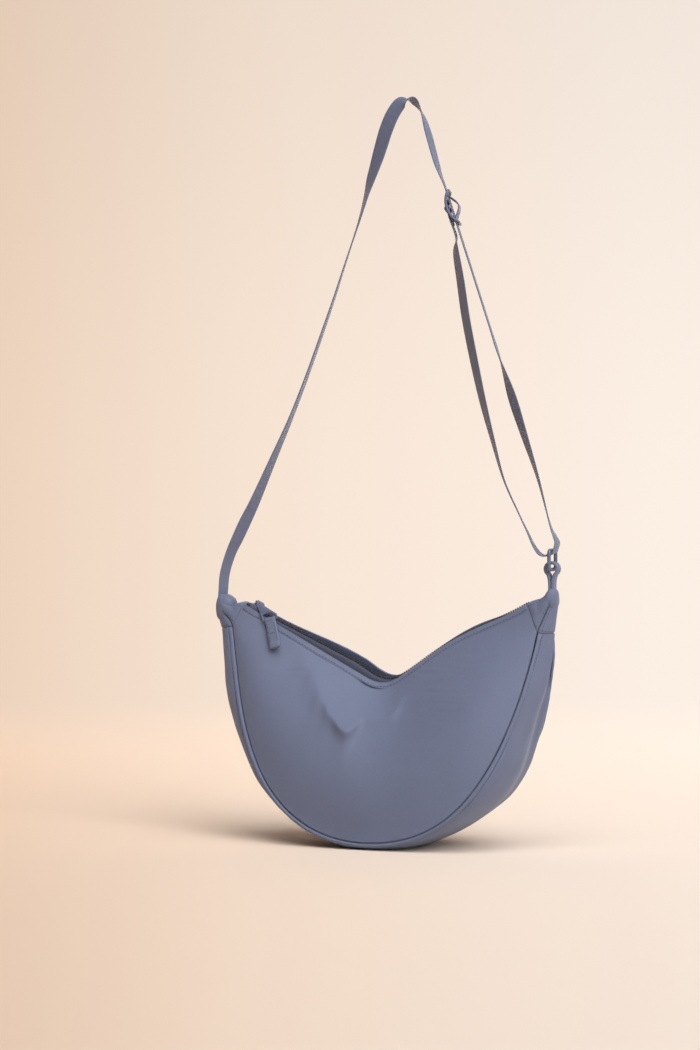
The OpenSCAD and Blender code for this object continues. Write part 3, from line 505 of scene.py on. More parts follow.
def stitches(name, points, normals, body, pitch=3.4, length=2.5, r=0.3):
    """A row of short threads lying along a line on a surface."""
    s = arc(points)
    count = int(s[-1] / pitch)
    sin, cos = np.sin(around(THREAD_SIDES))[:, None], np.cos(around(THREAD_SIDES))[:, None]
    f = np.linspace(-1, 1, THREAD_RINGS)[:, None, None]
    thick = r * np.maximum(0.35, np.sqrt(np.maximum(0, 1 - f * f * 0.95)))
    lift = r * 0.5 * (1 - f * f) - THREAD_SINK
    threads = []
    for mid in (np.arange(count) + 0.5) * s[-1] / count:
        ts = mid + np.linspace(-length / 2, length / 2, THREAD_RINGS)
        c = np.stack([np.interp(ts, s, points[:, k]) for k in range(3)], -1)
        n = unit(np.array([np.interp(mid, s, normals[:, k]) for k in range(3)]))
        b = np.cross(unit(c[-1] - c[0]), n)
        threads.append(c[:, None] + n * (lift + thick * sin) + b * (thick * cos))
    uv = np.zeros((count * THREAD_RINGS * THREAD_SIDES, 2))
    uv[:, 0] = np.arange(len(uv)) * 0.3
    return short_tubes(name, threads, M_THREAD, body, uv, sharp=80)


def skin_line(ms, c_of_m, off, lo=0.0, hi=3.0):
    P, N = skin(ms, c_of_m(ms), lo, hi)
    return P + off * N, N


def panel_len(m, side):
    return np.linalg.norm(panel_pt(m, 0 * m + 1, side) - panel_pt(m, 0 * m, side), axis=-1)


TURN_STEPS = np.linspace(0, 0.5, 101)


def turn_arc(m, side):
    """Lengths across the band from one seam to its middle, at the shares of TURN_STEPS."""
    m = np.atleast_1d(np.asarray(m, float))
    a = (TURN_STEPS if side < 0 else 1 - TURN_STEPS) * PI
    mm, aa = np.meshgrid(m, a, indexing="ij")
    d = np.linalg.norm(np.diff(gusset_pt(mm, aa), axis=1), axis=-1)
    return np.concatenate([np.zeros((len(m), 1)), np.cumsum(d, 1)], 1)


def turn_at(m, dist, side):
    """Where on the band (as c) a point lies at a distance from one seam, for each m."""
    rows = turn_arc(m, side)
    dist = np.broadcast_to(np.asarray(dist, float), (len(rows),))
    q = np.array([np.interp(d, r, TURN_STEPS) for d, r in zip(dist, rows)])
    return 1 + q if side < 0 else 2 - q


def turn_len(m):
    """Length on the side band per unit of c, close to a seam."""
    d = 0.02
    return np.linalg.norm(gusset_pt(m, 0 * m + PI * d) - gusset_pt(m, 0 * m), axis=-1) / d


# --- front and back panels
PANEL_SPAN = {-1: (0, 1), 1: (2, 3)}
# places of fine creases on the front: x, z, reach in x and in z, and how deep
CREASES = ((-92, 163, 26, 9, 0.5), (52, 160, 26, 12, 0.45), (103, 180, 24, 8, 0.5), (70, 135, 40, 16, 0.25))


def panel_c(v, side):
    """The share v of the way down a panel, as c."""
    return v if side < 0 else 3 - v


def front_creases(P):
    """Fine creases, and the dent with small gathers under the mouth's dip."""
    x, z = P[..., 0], P[..., 2]

    def spot(cx, cz, rx, rz):
        return np.exp(-((x - cx) / rx) ** 2 - ((z - cz) / rz) ** 2)

    lines = 0.5 * wobble(np.stack([x * 0.16, z], -1), 7, 9, 2)
    h = lines * sum(deep * spot(*at) for *at, deep in CREASES)
    return h - 1.8 * spot(-14, 150, 14, 5) + 0.35 * np.sin(x / 3.1) * spot(-8, 150, 18, 5)


def panel(side, tag):
    ms = np.linspace(-1, 1, 241)
    vs = np.linspace(0, 1, 121)
    vs = np.concatenate([vs[:-6], np.linspace(vs[-6], 1, 16)])
    m, v = np.meshgrid(ms, vs, indexing="ij")
    c = panel_c(v, side)
    P, N = skin(m, c, *PANEL_SPAN[side])
    down = v * panel_len(m, side)
    left = (1 - v) * panel_len(m, side)
    seeds = (3, 5) if side < 0 else (4, 6)
    h = 0.35 * wobble(P, 110, seeds[0]) + 0.12 * wobble(P, 34, seeds[1])
    if side < 0:
        h += front_creases(P)
    # puckers beside the seam, the cloth rolled in at the seam, and the line pressed under the hem
    seam = arc(skin_pt(ms, 0 * ms + c[0, -1]))
    h += 0.12 * np.sin(seam / 3.3 + 1.7 * np.sin(ms * 9))[:, None] * np.exp(-left / 5)
    h -= 2.6 * np.clip(1 - left / 1.9, 0, 1) ** 2
    h -= 0.12 * np.exp(-((down - HEM_W - 0.6) / 1.2) ** 2)
    h[:, 0] = np.minimum(h[:, 0], 0)
    sheet(tag + "_panel_cloth", P, N, h, h - CLOTH, M_SHELL, nodes=(tag + "_panel",))


for side, tag in SIDES:
    panel(side, tag)

# --- side band
# angle across the band at which its long crease runs up the right flank, by height
CREASE_AT = [[0, 102], [48, 102], [81, 105], [121, 116], [185, 146], [240, 150]]
LEFT_CREASE_AT = 118


def side_band():
    ms = np.linspace(-1, 1, 301)
    g = SEAM_GAP / turn_len(ms)
    c = (1 + g)[:, None] + (1 - 2 * g)[:, None] * np.linspace(0, 1, 97)
    m = ms[:, None]
    P, N = skin(m, c, 1, 2)
    h = 0.45 * wobble(P, 70, 11) + 0.1 * wobble(P, 25, 12)
    # one long crease up each flank, with a soft swell on both sides of it
    side_on = np.clip((np.abs(m) - 0.3) / 0.25, 0, 1)
    off = (c - 1) * 180 - np.where(m > 0, table(CREASE_AT, P[..., 2]), LEFT_CREASE_AT)
    h -= np.where(m > 0, 1.5, 0.7) * side_on * np.exp(-(off / 13) ** 2)
    swell = np.exp(-((off + 24) / 15) ** 2) + np.exp(-((off - 20) / 12) ** 2)
    h += np.where(m > 0, 1.2, 0.6) * side_on * swell

    def from_seam(share, side):
        rows = turn_arc(ms, side)
        return np.array([np.interp(np.minimum(q, 0.5), TURN_STEPS, row) for q, row in zip(share, rows)])

    # rolled in at both seams, and pressed along the stitching beside the welts
    edge = np.where(c > 1.5, from_seam(2 - c, 1), from_seam(c - 1, -1))
    h -= 2.2 * np.clip(1 - edge, 0, 1) ** 2
    h -= 0.45 * np.exp(-((edge - WELT_W - 1.3) / 0.8) ** 2)
    sheet("side_band_cloth", P, N, h, h - CLOTH, M_BAND, above=(0, CLOTH), nodes=("gusset",))


side_band()


# --- welts, hems and their stitching
def strip(node_name, side, on_panel, width, thick, mat):
    """A rounded strip of cloth that lies beside a seam or along the mouth's edge."""
    ms = np.linspace(-1, 1, 301)
    sec = np.linspace(0, 1, 11)
    if on_panel:
        c = panel_c(sec * (width / panel_len(ms, side))[:, None], side)
        lo, hi = PANEL_SPAN[side]
        round_off, from_share = 8, 0.5
    else:
        c = np.stack([turn_at(ms, WELT_AT + q * width, side) for q in sec], 1)
        lo, hi = 1, 2
        round_off, from_share = 4, 0.0
    P, N = skin(ms[:, None], c, lo, hi)
    ripple = 0.08 * np.sin(arc(P[:, 5]) / 1.7)[:, None] + 0.15 * wobble(P, 22, 21)
    crown = np.where(sec < from_share, 1, np.sqrt(np.clip(1 - (2 * sec - 1) ** round_off, 0, 1)))
    # both ends dip under the corner caps
    tuck = 1.6 * np.exp(-(1 - np.abs(ms)) / 0.006)[:, None]
    sheet(node_name + "_cloth", P, N, 0.1 + (thick + ripple) * crown - tuck, -0.1 - tuck, mat,
          above=(0.2, 0.1), nodes=(node_name,), slot="shell_cloth")


for side, tag in SIDES:
    strip(tag + "_welt", side, False, WELT_W, WELT_T, M_BAND)
for side, tag in SIDES:
    strip(tag + "_hem", side, True, HEM_W, HEM_T, M_TRIM)


def body_stitching(side, tag):
    ms = np.linspace(-0.995, 0.995, 500)
    pts, nrm = skin_line(ms, lambda q: turn_at(q, WELT_W + 1.35, side), -0.25, 1, 2)
    stitches(tag + "_welt_stitching", pts, nrm, "bag")
    pts, nrm = skin_line(ms, lambda q: panel_c((HEM_W - 1.3) / panel_len(q, side), side), 0.5)
    stitches(tag + "_hem_stitching", pts, nrm, "bag")


for side, tag in SIDES:
    body_stitching(side, tag)


# --- zip
TAPE_GAP, TAPE_T, TAPE_DROP = 0.4, 0.6, 9
TOOTH_PITCH, TOOTH_SINK = 2.4, 0.15
# a tooth's sections: distance from the zip's middle, width along the zip, and height
TOOTH = ((0.35, 0.55, 0.6), (0.45, 1.05, 1.9), (1.4, 0.95, 2.15), (2.6, 0.95, 2.1), (3.2, 0.8, 1.5),
         (3.35, 0.3, 0.6))


def zip_lift(x):
    """How much higher than the front's mouth edge the zip runs, at x."""
    low = ZIP_RISE * (1 - ease(np.clip((x + ZIP_BEND) / (ZIP_BEND + ZIP_FLAT), 0, 1)))
    return np.where(x < -ZIP_BEND, ZIP_K * (x + SLIDER_X), np.where(x < ZIP_FLAT, low, 0))


def zip_z(m):
    return mouth_z(m) + zip_lift(m * MOUTH_W / 2)


def zip_frame(m):
    """Points of the zip's middle line, with the directions along it and up from it."""
    e = 0.01
    d = unit(vec(2 * e * MOUTH_W / 2 + 0 * m, 0 * m, zip_z(m + e) - zip_z(m - e)))
    return vec(m * MOUTH_W / 2, 0 * m, zip_z(m)), d, vec(-d[..., 2], 0 * m, d[..., 0])


def zip_half(side, tag):
    ms = np.linspace(-1, 1, 181)
    o, d, n = zip_frame(ms)
    edge = MOUTH_GAP / 2 - CLOTH - TAPE_GAP
    back = edge - TAPE_T
    sec = [(0.4, 0.0), (2.0, 0.02), (4.2, 0.05), (edge - 0.5, 0.0), (edge, -0.5), (edge, -3), (edge, -6),
           (edge, -TAPE_DROP), (back, -TAPE_DROP), (back, -6), (back, -3), (back, -1), (edge - 1, -TAPE_T),
           (2.0, -TAPE_T), (0.4, -TAPE_T)]
    loops = np.stack([o + vec(0, side * y, 0) + n * z for y, z in sec], 1)
    run = arc(o)
    tube(tag + "_zip_tape_cloth", loops, M_TAPE, "bag", grid_uv(run, [y - z for y, z in sec]),
         nodes=(tag + "_zip_tape",))
    count = int(run[-1] / TOOTH_PITCH)
    along, up = oval(around(8), 0.6, 0.6)
    teeth = []
    for q in range(count):
        s = (q + (0.25 if side < 0 else 0.75)) * run[-1] / count
        o, d, n = zip_frame(np.array(np.interp(s, run, ms)))
        teeth.append([o + vec(0, side * y, 0) + d * (along * wide * 0.55)[:, None]
                      + n * (TOOTH_SINK + high / 2 * (1 + up))[:, None] for y, wide, high in TOOTH])
    short_tubes(tag + "_zip_teeth_coil", teeth, M_TEETH, "bag", sharp=60, nodes=(tag + "_zip_teeth",))


for side, tag in SIDES:
    zip_half(side, tag)

# --- lining
LINING_IN, LINING_OUT = 2.5, 1.95


def panel_lining(side, tag):
    ms = np.linspace(-1, 1, 101)
    top = (TAPE_DROP + HEM_W) / panel_len(ms, side)
    c = panel_c(top[:, None] + (0.98 - top)[:, None] * np.linspace(0, 1, 31), side)
    P, N = skin(ms[:, None], c, 0, 3, 0.01, 0.02)
    fold = 0.25 * wobble(P, 40, 31) - 0.25
    sheet(tag + "_lining_cloth", P, N, fold - LINING_OUT, fold - LINING_IN, M_LINING,
          nodes=(tag + "_lining",))


def band_lining():
    m, c = np.meshgrid(np.linspace(-1, 1, 121), np.linspace(1.01, 1.99, 31), indexing="ij")
    P, N = skin(m, c, 0, 3, 0.01, 0.02)
    sheet("side_band_lining", P, N, -1.9, -LINING_IN, M_LINING, above=(2.0, 2.6), nodes=("gusset_lining",))


for side, tag in SIDES:
    panel_lining(side, tag)
band_lining()

# --- corner caps
# A cap lofts from the body's open end (q 0) to an oval round the strap's or the loop's root (q 1). Its
# four pieces are the front (c 0 to 1), side, back and top (c 3 to 4).
CAP_LEAD, CAP_RISE, CAP_ARCH, CAP_RY = 9.0, 10.0, 0.4, 9.0
CAP_SEAM, CAP_APRON, CAP_PUFF, CAP_TOP_PUFF = 0.012, 0.25, 1.1, 0.3
CAP_TURNS = np.radians([-140, -50, 50, 140, 220])
CAPS = {-1: (166.0, 227.0, 8.0), 1: (164.0, 241.0, 5.5)}


def cap_oval(side, c):
    cx, cz, rx = CAPS[side]
    a = np.interp(c, [0, 1, 2, 3, 4], CAP_TURNS)
    return vec(side * (cx + rx * np.cos(a)), CAP_RY * np.sin(a), cz + 0 * a)


def cap_over(c, at):
    """What at(c) gives round the body's open end, carried on straight over the mouth's gap."""
    a, b = at(np.array(3.0)), at(np.array(0.0))
    f = np.clip(c - 3, 0, 1)[..., None]
    return np.where((c <= 3)[..., None], at(np.minimum(c, 3)), a + (b - a) * f), f


def cap_base(side, c):
    p, f = cap_over(c, lambda q: skin_pt(0 * q + side, q))
    return p + vec(0, 0, 1) * CAP_ARCH * np.sin(PI * f)


def cap_start(side, c):
    return cap_over(c, lambda q: unit(skin_pt(0 * q + side, q) - skin_pt(0 * q + side * 0.96, q)))[0]


def cap_pt(side, q, c):
    p = cap_base(side, c)
    t = cap_oval(side, c)
    b = p + CAP_LEAD * cap_start(side, c)
    d = t - np.array([0, 0, CAP_RISE])
    q = q[..., None]
    return (1 - q) ** 3 * p + 3 * (1 - q) ** 2 * q * b + 3 * (1 - q) * q ** 2 * d + q ** 3 * t


def cap_normal(side, q, c):
    e = 0.02
    q0, q1 = np.maximum(0, q - e), np.minimum(1, q + e)
    c0, c1 = np.mod(c - e, 4), np.mod(c + e, 4)
    up, over = cap_pt(side, q1, c) - cap_pt(side, q0, c), cap_pt(side, q, c1) - cap_pt(side, q, c0)
    return -side * unit(np.cross(up, over))


def cap_skin(side, q, c, c0, seed, puff=CAP_PUFF):
    """Points, normals and lifts of a cap's cloth: rolled in at its seams and tucked under the folded end."""
    qq = np.maximum(q, 0)
    P, N = cap_pt(side, qq, c), cap_normal(side, qq, c)
    a, b = cap_pt(side, qq, 0 * c + c0 + CAP_SEAM), cap_pt(side, qq, 0 * c + c0 + 1 - CAP_SEAM)
    width = np.linalg.norm(a - b, axis=-1)
    t = c - c0
    from_edge = np.minimum(t, 1 - t) * np.maximum(width, 4)
    from_low, from_top = qq * 26, (1 - qq) * 26
    h = puff * (1 - np.exp(-from_edge / 2.2)) * (1 - np.exp(-from_low / 2.5)) + 0.3 * wobble(P, 13, seed)
    h = h - 0.8 * np.exp(-from_edge / 0.5) - 0.9 * np.exp(-from_low / 0.6) - 2.6 * np.exp(-from_top / 1.8)
    # below q 0 the top piece hangs on as an apron that closes the mouth's end
    P = P + vec(0 * q, 0 * q, np.minimum(q, 0) * 28) + N * (np.minimum(q, 0) * 6)[..., None]
    return P, N, h


def cap_piece(side, c0, tag, node_name, seed):
    low, puff = (-CAP_APRON, CAP_TOP_PUFF) if c0 == 3 else (0.0, CAP_PUFF)
    q, t = np.meshgrid(np.linspace(low, 0.985, 45), np.linspace(0, 1, 31), indexing="ij")
    P, N, h = cap_skin(side, q, c0 + CAP_SEAM + (1 - 2 * CAP_SEAM) * t, c0, seed, puff)
    sheet(tag, P, N, h, h - CLOTH, M_TRIM, nodes=(node_name,))


def cap_stitches(side, q, c, c0, seed, name):
    P, N, h = cap_skin(side, q, c, c0, seed)
    stitches(name, P + N * h[..., None], N, "bag", pitch=3.0, length=2.1)


def corner_cap(side, tag):
    seed = 40 + 4 * side
    for k, part in enumerate(("front", "side", "back", "top")):
        cap_piece(side, k, "%s_corner_%s_cloth" % (tag, part), "%s_cap_%s" % (tag, part), seed + k)
    up, over = np.linspace(0.06, 0.86, 60), np.linspace(1.1, 1.9, 60)
    for at, k, part in ((0.13, 0, "mouth"), (0.87, 0, "front"), (1.13, 1, "side")):
        cap_stitches(side, up, 0 * up + at, k, seed + k, "%s_corner_%s_stitching" % (tag, part))
    cap_stitches(side, 0 * over + 0.085, over, 1, seed + 1, tag + "_corner_low_stitching")


corner_cap(-1, "left")
corner_cap(1, "right")


def even_ring(points, count):
    """Evenly spaced points round a closed outline, with their lengths along it."""
    closed = np.concatenate([points, points[:1]])
    s = arc(closed)
    t = np.linspace(0, s[-1], count, endpoint=False)
    return np.stack([np.interp(t, s, closed[:, i]) for i in range(2)], -1), t


PILLOW_POWER, PILLOW_RINGS = 2.6, 17


def pillow(name, outline, half, node_name, seed):
    """A soft folded end: an outline in x and z, rounded over towards its front and back."""
    ring, t = even_ring(np.array(outline, float), 48)
    for _ in range(3):
        ring = 0.25 * np.roll(ring, 1, 0) + 0.5 * ring + 0.25 * np.roll(ring, -1, 0)
    mid = ring.mean(0)
    loops = []
    for f in np.linspace(-1, 1, PILLOW_RINGS):
        p = mid + (ring - mid) * max(0.02, (1 - abs(f) ** PILLOW_POWER) ** (1 / PILLOW_POWER))
        loops.append(vec(p[:, 0], half * f, p[:, 1]))
    loops = np.array(loops)
    loops = loops + (loops - loops.mean((0, 1))) * (0.03 * wobble(loops, 12, seed))[..., None]
    uv = grid_uv(np.linspace(-half, half, PILLOW_RINGS), t)[..., ::-1]
    tube(name, loops, M_TRIM, "bag", uv, nodes=(node_name,), sharp=80)


pillow("left_strap_tongue", [(-173, 212), (-173.8, 221), (-173, 229), (-169, 233.5), (-161, 233),
                             (-154.5, 228.5), (-153.5, 222), (-158, 214.5), (-164.5, 209), (-170, 207.5)],
       9.6, "left_strap_tab", 51)
pillow("right_loop_tongue", [(159.2, 226), (158.8, 236), (160.5, 242), (164, 244.2), (167.6, 242.5),
                             (169.6, 237), (169.8, 228), (166, 221)],
       8.8, "right_loop_tab", 52)

# --- strap
# webbing's width and thickness, its two roots, and the arch that the rows below are shares of
SW, ST = 15.0, 1.4
LEFT_ROOT = np.array([-167.4, 0, 237.0])
RIGHT_ROOT = np.array([164.0, 0, 247.5])
RISE, HALF = 460.0, 167.4
RING_TOP = RIGHT_ROOT + [0, 0, 29.75]
TURN_R = 3.5 / 2 + 0.3 + ST / 2
ROUTE = [
    [-1.000, 0, 0.000, 12], [-0.990, 0, 0.035, 14], [-0.955, 0, 0.075, 18], [-0.915, 0, 0.105, 26],
    [-0.860, 0, 0.145, 28], [-0.800, 0, 0.187, 18], [-0.690, 0, 0.272, 3], [-0.583, 0, 0.354, -8],
    [-0.488, 0, 0.435, -12], [-0.400, 0, 0.517, -14], [-0.315, 0, 0.600, -17], [-0.238, 0, 0.680, -21],
    [-0.160, 0, 0.760, -28], [-0.118, 0, 0.810, -38], [-0.090, 0, 0.843, -54], [-0.058, 0, 0.876, -65],
    [-0.025, -0.1, 0.908, -73], [0.010, -0.2, 0.942, -78], [0.055, -0.25, 0.975, -80],
    [0.110, -0.2, 0.998, -76], [0.165, 0, 0.999, -52], [0.212, 0.15, 0.974, -14],
    [0.247, 0.1, 0.938, 3], [0.280, 0, 0.900, 3], [0.306, 0, 0.868, 0], [0.327, 0, 0.846, -8]]
STRAND_LEAN, STRAND_TURN = math.radians(18.5), -14.0
STRAND_TOP = np.array([HALF * 0.355, 0, LEFT_ROOT[2] + RISE * 0.821])
STRAND_DIR = np.array([math.sin(STRAND_LEAN), 0, -math.cos(STRAND_LEAN)])
STRAND_L = 0.62 * RISE
STRAND_TWIST = -34
TWIST = [[0.58, 0], [0.72, 1], [0.84, 0.85], [1, 0.35]]
APPROACH = [[0.963, 0.143, -16], [0.992, 0.117, -6], [1.007, 0.104, 0], [1.002, 0.094, 0]]
RETURN = [
    [0.941, 0.0765, 0], [0.905, 0.082, -4], [0.870, 0.100, -10], [0.838, 0.124, -15], [0.785, 0.162, -19],
    [0.700, 0.228, -22], [0.635, 0.306, -32], [0.573, 0.390, -42], [0.523, 0.472, -47],
    [0.478, 0.554, -48], [0.445, 0.632, -46], [0.418, 0.690, -38]]
ADJ_L, BAR_D, RUN_GAP = 34.0, 2.6, 0.35
ADJ_AT = STRAND_TOP + STRAND_DIR * ADJ_L * 0.62
FOLD_R = BAR_D / 2 + 0.175
MID_IN = ST / 2 + RUN_GAP + FOLD_R + ST


def place(row):
    """A row [x, z, turn] or [x, y, z, turn] in shares of the arch, in millimetres."""
    x, y, z, turn = row if len(row) == 4 else (row[0], 0, row[1], row[2])
    return [HALF * x, SW * y, LEFT_ROOT[2] + RISE * z, turn]


def round_ring(degrees):
    """Rows of the webbing's bend round the ring's top, at these angles about it."""
    return [[*(RING_TOP + TURN_R * np.array([math.cos(q), 0, math.sin(q)])), 0] for q in np.radians(degrees)]


def spline(rows, steps):
    """A smooth row of points through the given rows, with this many steps between two of them."""
    p = np.array(rows, float)
    out = []
    for i in range(len(p) - 1):
        a, b, c, d = p[max(0, i - 1)], p[i], p[i + 1], p[min(len(p) - 1, i + 2)]
        for k in range(steps):
            t = k / steps
            bend = (2 * a - 5 * b + 4 * c - d) * t * t + (3 * b - a - 3 * c + d) * t ** 3
            out.append(0.5 * (2 * b + (c - a) * t + bend))
    out.append(p[-1])
    return np.array(out)


def ribbon(name, rows, width, thick, mat, body, mapper=None, ripple=0.0, **kw):
    """Webbing along rows of x, y, z and turn, the angle of its width from y towards x."""
    rows = np.asarray(rows, float)
    p, turn = rows[:, :3], np.radians(rows[:, 3])
    t = np.empty_like(p)
    t[1:-1] = p[2:] - p[:-2]
    t[0], t[-1] = p[1] - p[0], p[-1] - p[-2]
    t = unit(t)
    w = vec(np.sin(turn), np.cos(turn), 0 * turn)
    w = unit(w - (w * t).sum(-1, keepdims=True) * t)
    n = np.cross(t, w)
    ox, oz = oval(around(22), 0.28, 0.6)
    run = arc(p)
    lift = oz * thick / 2 + ripple * np.sin(run / 37 + 1)[:, None] * ox ** 2
    loops = p[:, None] + w[:, None] * (ox * width / 2)[:, None] + n[:, None] * lift[..., None]
    loops = mapper(loops) if mapper else loops
    return tube(name, loops, mat, body, grid_uv(run, ox * width / 2), sharp=75, **kw)


def rows_of(path):
    """Rows for ribbon() from [x, z] points, with its width along y."""
    return [[x, 0, z, 0] for x, z in path]


def strap():
    leg = [place(r) for r in ROUTE]
    strand = []
    for s in (0, 0.1, 0.2, 0.3, 0.4, 0.5, 0.58, 0.72, 0.84, 1.0):
        turn = STRAND_TURN + (STRAND_TWIST * float(table(TWIST, s)) if s > TWIST[0][0] else 0)
        strand.append([*(STRAND_TOP + STRAND_DIR * STRAND_L * s), turn])
    approach = [place(r) for r in APPROACH]
    bend = round_ring(range(0, -91, -10))
    main = np.concatenate([spline(leg + strand + approach + bend[:1], 10)[:-1], bend])
    start = unit(main[1, :3] - main[0, :3])
    root = [[*(main[0, :3] - start * q), main[0, 3]] for q in (16, 12, 9, 6, 3)]
    ob = ribbon("strap_webbing", np.concatenate([root, main]), SW, ST, M_STRAP, None, ripple=0.12,
                nodes=("strap",))
    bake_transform(ob)


def strap_return():
    inward = np.array([math.cos(STRAND_LEAN), 0, math.sin(STRAND_LEAN)])
    end = ADJ_AT + STRAND_DIR * 15 - (MID_IN + ST / 2) * inward
    rows = round_ring((-88, -95, -108)) + [place(r) for r in RETURN]
    rows += [[*(end + STRAND_DIR * q), STRAND_TURN] for q in (12, 0)]
    ob = ribbon("strap_return_webbing", spline(rows, 10), SW, ST, M_STRAP, "strap", ripple=0.2,
                nodes=("strap_return",))
    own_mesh(ob)


strap()
strap_return()

# --- adjuster: sewn end and the webbing's hump
TURN_Z = -math.atan(math.cos(STRAND_LEAN) * math.tan(math.radians(STRAND_TURN)))


def strand_pt(p):
    """A point given outwards, along the webbing's width and up the strand, as a point of the bag."""
    p = np.asarray(p, float)
    ca, sa = math.cos(TURN_Z), math.sin(TURN_Z)
    cl, sl = math.cos(-STRAND_LEAN), math.sin(-STRAND_LEAN)
    x = p[..., 0] * ca - p[..., 1] * sa
    y = p[..., 0] * sa + p[..., 1] * ca
    z = p[..., 2]
    return np.stack([x * cl + z * sl, y, -x * sl + z * cl], -1) + ADJ_AT


def sewn_end():
    r = FOLD_R + ST / 2
    path = [(-MID_IN + ST * 0.5, -15 + q) for q in np.linspace(0, 11, 8)]
    path += [(-MID_IN + r * math.cos(q), r * math.sin(q)) for q in np.linspace(-0.55, PI + 0.55, 28)]
    path += [(-MID_IN - ST * 0.5, -4 - q) for q in np.linspace(0, 11.6, 8)]
    ribbon("strap_end_fold", rows_of(path), SW, ST, M_STRAP, "adjuster", strand_pt, nodes=("strap_end_loop",))
    hump = [(0.35 + 6.6 * math.cos(PI * q / 28.4) ** 2, q) for q in np.linspace(14.2, -14.2, 41)]
    ribbon("strap_hump", rows_of(hump), SW, ST, M_STRAP, "adjuster", strand_pt)
    for q, tag in ((-12.2, "low"), (-8.2, "high")):
        pts = np.array([[-MID_IN - ST - 0.05, y, q] for y in np.linspace(-6.6, 6.6, 12)])
        nrm = strand_pt(pts + [-1, 0, 0]) - strand_pt(pts)
        stitches("strap_end_stitching_" + tag, strand_pt(pts), nrm, "adjuster", pitch=2.4, length=1.8, r=0.26)


# --- adjuster: bowed frame and middle bar
RAIL_T, FRAME_CORNER = 3.0, 3.2


def adjuster():
    end_z = ADJ_L / 2 - BAR_D / 2
    bow = ST / 2 + RUN_GAP + BAR_D / 2 + MID_IN
    bow_r = (end_z ** 2 + bow ** 2) / (2 * bow)
    half_y = SW / 2 + RUN_GAP + RAIL_T / 2
    ring = []
    for cy, cz, a0 in ((1, 1, 0), (-1, 1, 90), (-1, -1, 180), (1, -1, 270)):
        for q in np.radians(np.linspace(a0, a0 + 90, 9)):
            ring.append([cy * (half_y - FRAME_CORNER) + FRAME_CORNER * math.cos(q),
                         cz * (end_z - FRAME_CORNER) + FRAME_CORNER * math.sin(q)])
    ring, t = even_ring(np.array(ring), 96)
    y, z = ring.T
    mid = vec(bow_r - MID_IN - np.sqrt(np.maximum(bow_r ** 2 - z ** 2, 0)), y, z)
    along = unit(np.roll(mid, -1, 0) - np.roll(mid, 1, 0))
    flat = unit(vec(0 * y + 1, 0 * y, -z / bow_r))
    flat = unit(flat - (flat * along).sum(-1, keepdims=True) * along)
    th = around(16)
    cu, cv = np.cos(th)[:, None], np.sin(th)[:, None]
    # the side rails are a little wider than the end bars
    at_end = np.clip((np.abs(z) - end_z + 3.5) / 3.5, 0, 1)[:, None, None]
    wide = RAIL_T / 2 + (BAR_D - RAIL_T) / 2 * at_end
    loops = mid[:, None] + flat[:, None] * (cu * BAR_D / 2) + np.cross(along, flat)[:, None] * (cv * wide)
    tube("strap_adjuster_frame", strand_pt(loops), M_METAL, "adjuster", grid_uv(t, cv[:, 0] * 2), closed=True,
         sharp=75, nodes=("strap_adjuster",))
    ys = np.linspace(-half_y, half_y, 24)
    loops = np.stack([vec(-MID_IN + BAR_D / 2 * math.cos(q) + 0 * ys, ys, BAR_D / 2 * math.sin(q) + 0 * ys)
                      for q in th], 1)
    tube("strap_adjuster_bar", strand_pt(loops), M_METAL, "adjuster", grid_uv(ys, th), sharp=75)


sewn_end()
adjuster()

# --- loop that holds the ring
EYE_R, EYE_Z, LOOP_W, LOOP_T = 4.4, 12.75, 10.5, 2.8


def ring_loop():
    r = EYE_R + LOOP_T / 2
    path = [(-LOOP_T / 2, q) for q in np.linspace(-7, 1.5, 7)]
    path += [(r * math.cos(q), EYE_Z + r * math.sin(q)) for q in np.radians(np.linspace(245, -65, 40))]
    path += [(LOOP_T / 2, q) for q in np.linspace(1.5, -7, 7)]
    path = np.array(path)
    for _ in range(2):
        path[1:-1] = 0.25 * path[:-2] + 0.5 * path[1:-1] + 0.25 * path[2:]
    ob = ribbon("ring_loop_cloth", rows_of(path), LOOP_W, LOOP_T, M_TRIM, None, lambda p: p + RIGHT_ROOT,
                nodes=("ring_loop",))
    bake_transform(ob)


ring_loop()

# --- pull tab
SKEW, TAB_LEAN = math.radians(15), math.radians(20)
BAR = np.array([-113.0, -12.25, 209.966])
TAB_X = np.array([math.cos(SKEW), 0, math.sin(SKEW)])
TAB_Z = np.array([-math.sin(SKEW), math.tan(TAB_LEAN), math.cos(SKEW)]) * math.cos(TAB_LEAN)
TAB_Y = np.cross(TAB_Z, TAB_X)
TAB_W, TAB_DRIFT = 10.5, -0.1
# the tab's sections: height from the link's bar, thickness, and how far the section lies back
TAB_LEVELS = [(2.15, 0.9, 0), (1.9, 2.6, 0), (1.0, 4.0, 0), (0, 4.4, 0), (-1.2, 4.0, 0), (-2.6, 3.0, 0),
              (-4, 2.5, 0), (-8, 2.3, 0), (-14, 2.45, 0), (-20, 2.3, 0), (-23.8, 2.5, 0), (-24.6, 3.2, -0.3),
              (-25.4, 3.8, -0.55), (-27.5, 4.0, -0.6), (-29.2, 3.6, -0.6), (-30, 2.2, -0.6)]


def tab_pt(p):
    p = np.asarray(p, float)
    return p[..., 0:1] * TAB_X + p[..., 1:2] * TAB_Y + p[..., 2:3] * TAB_Z + BAR


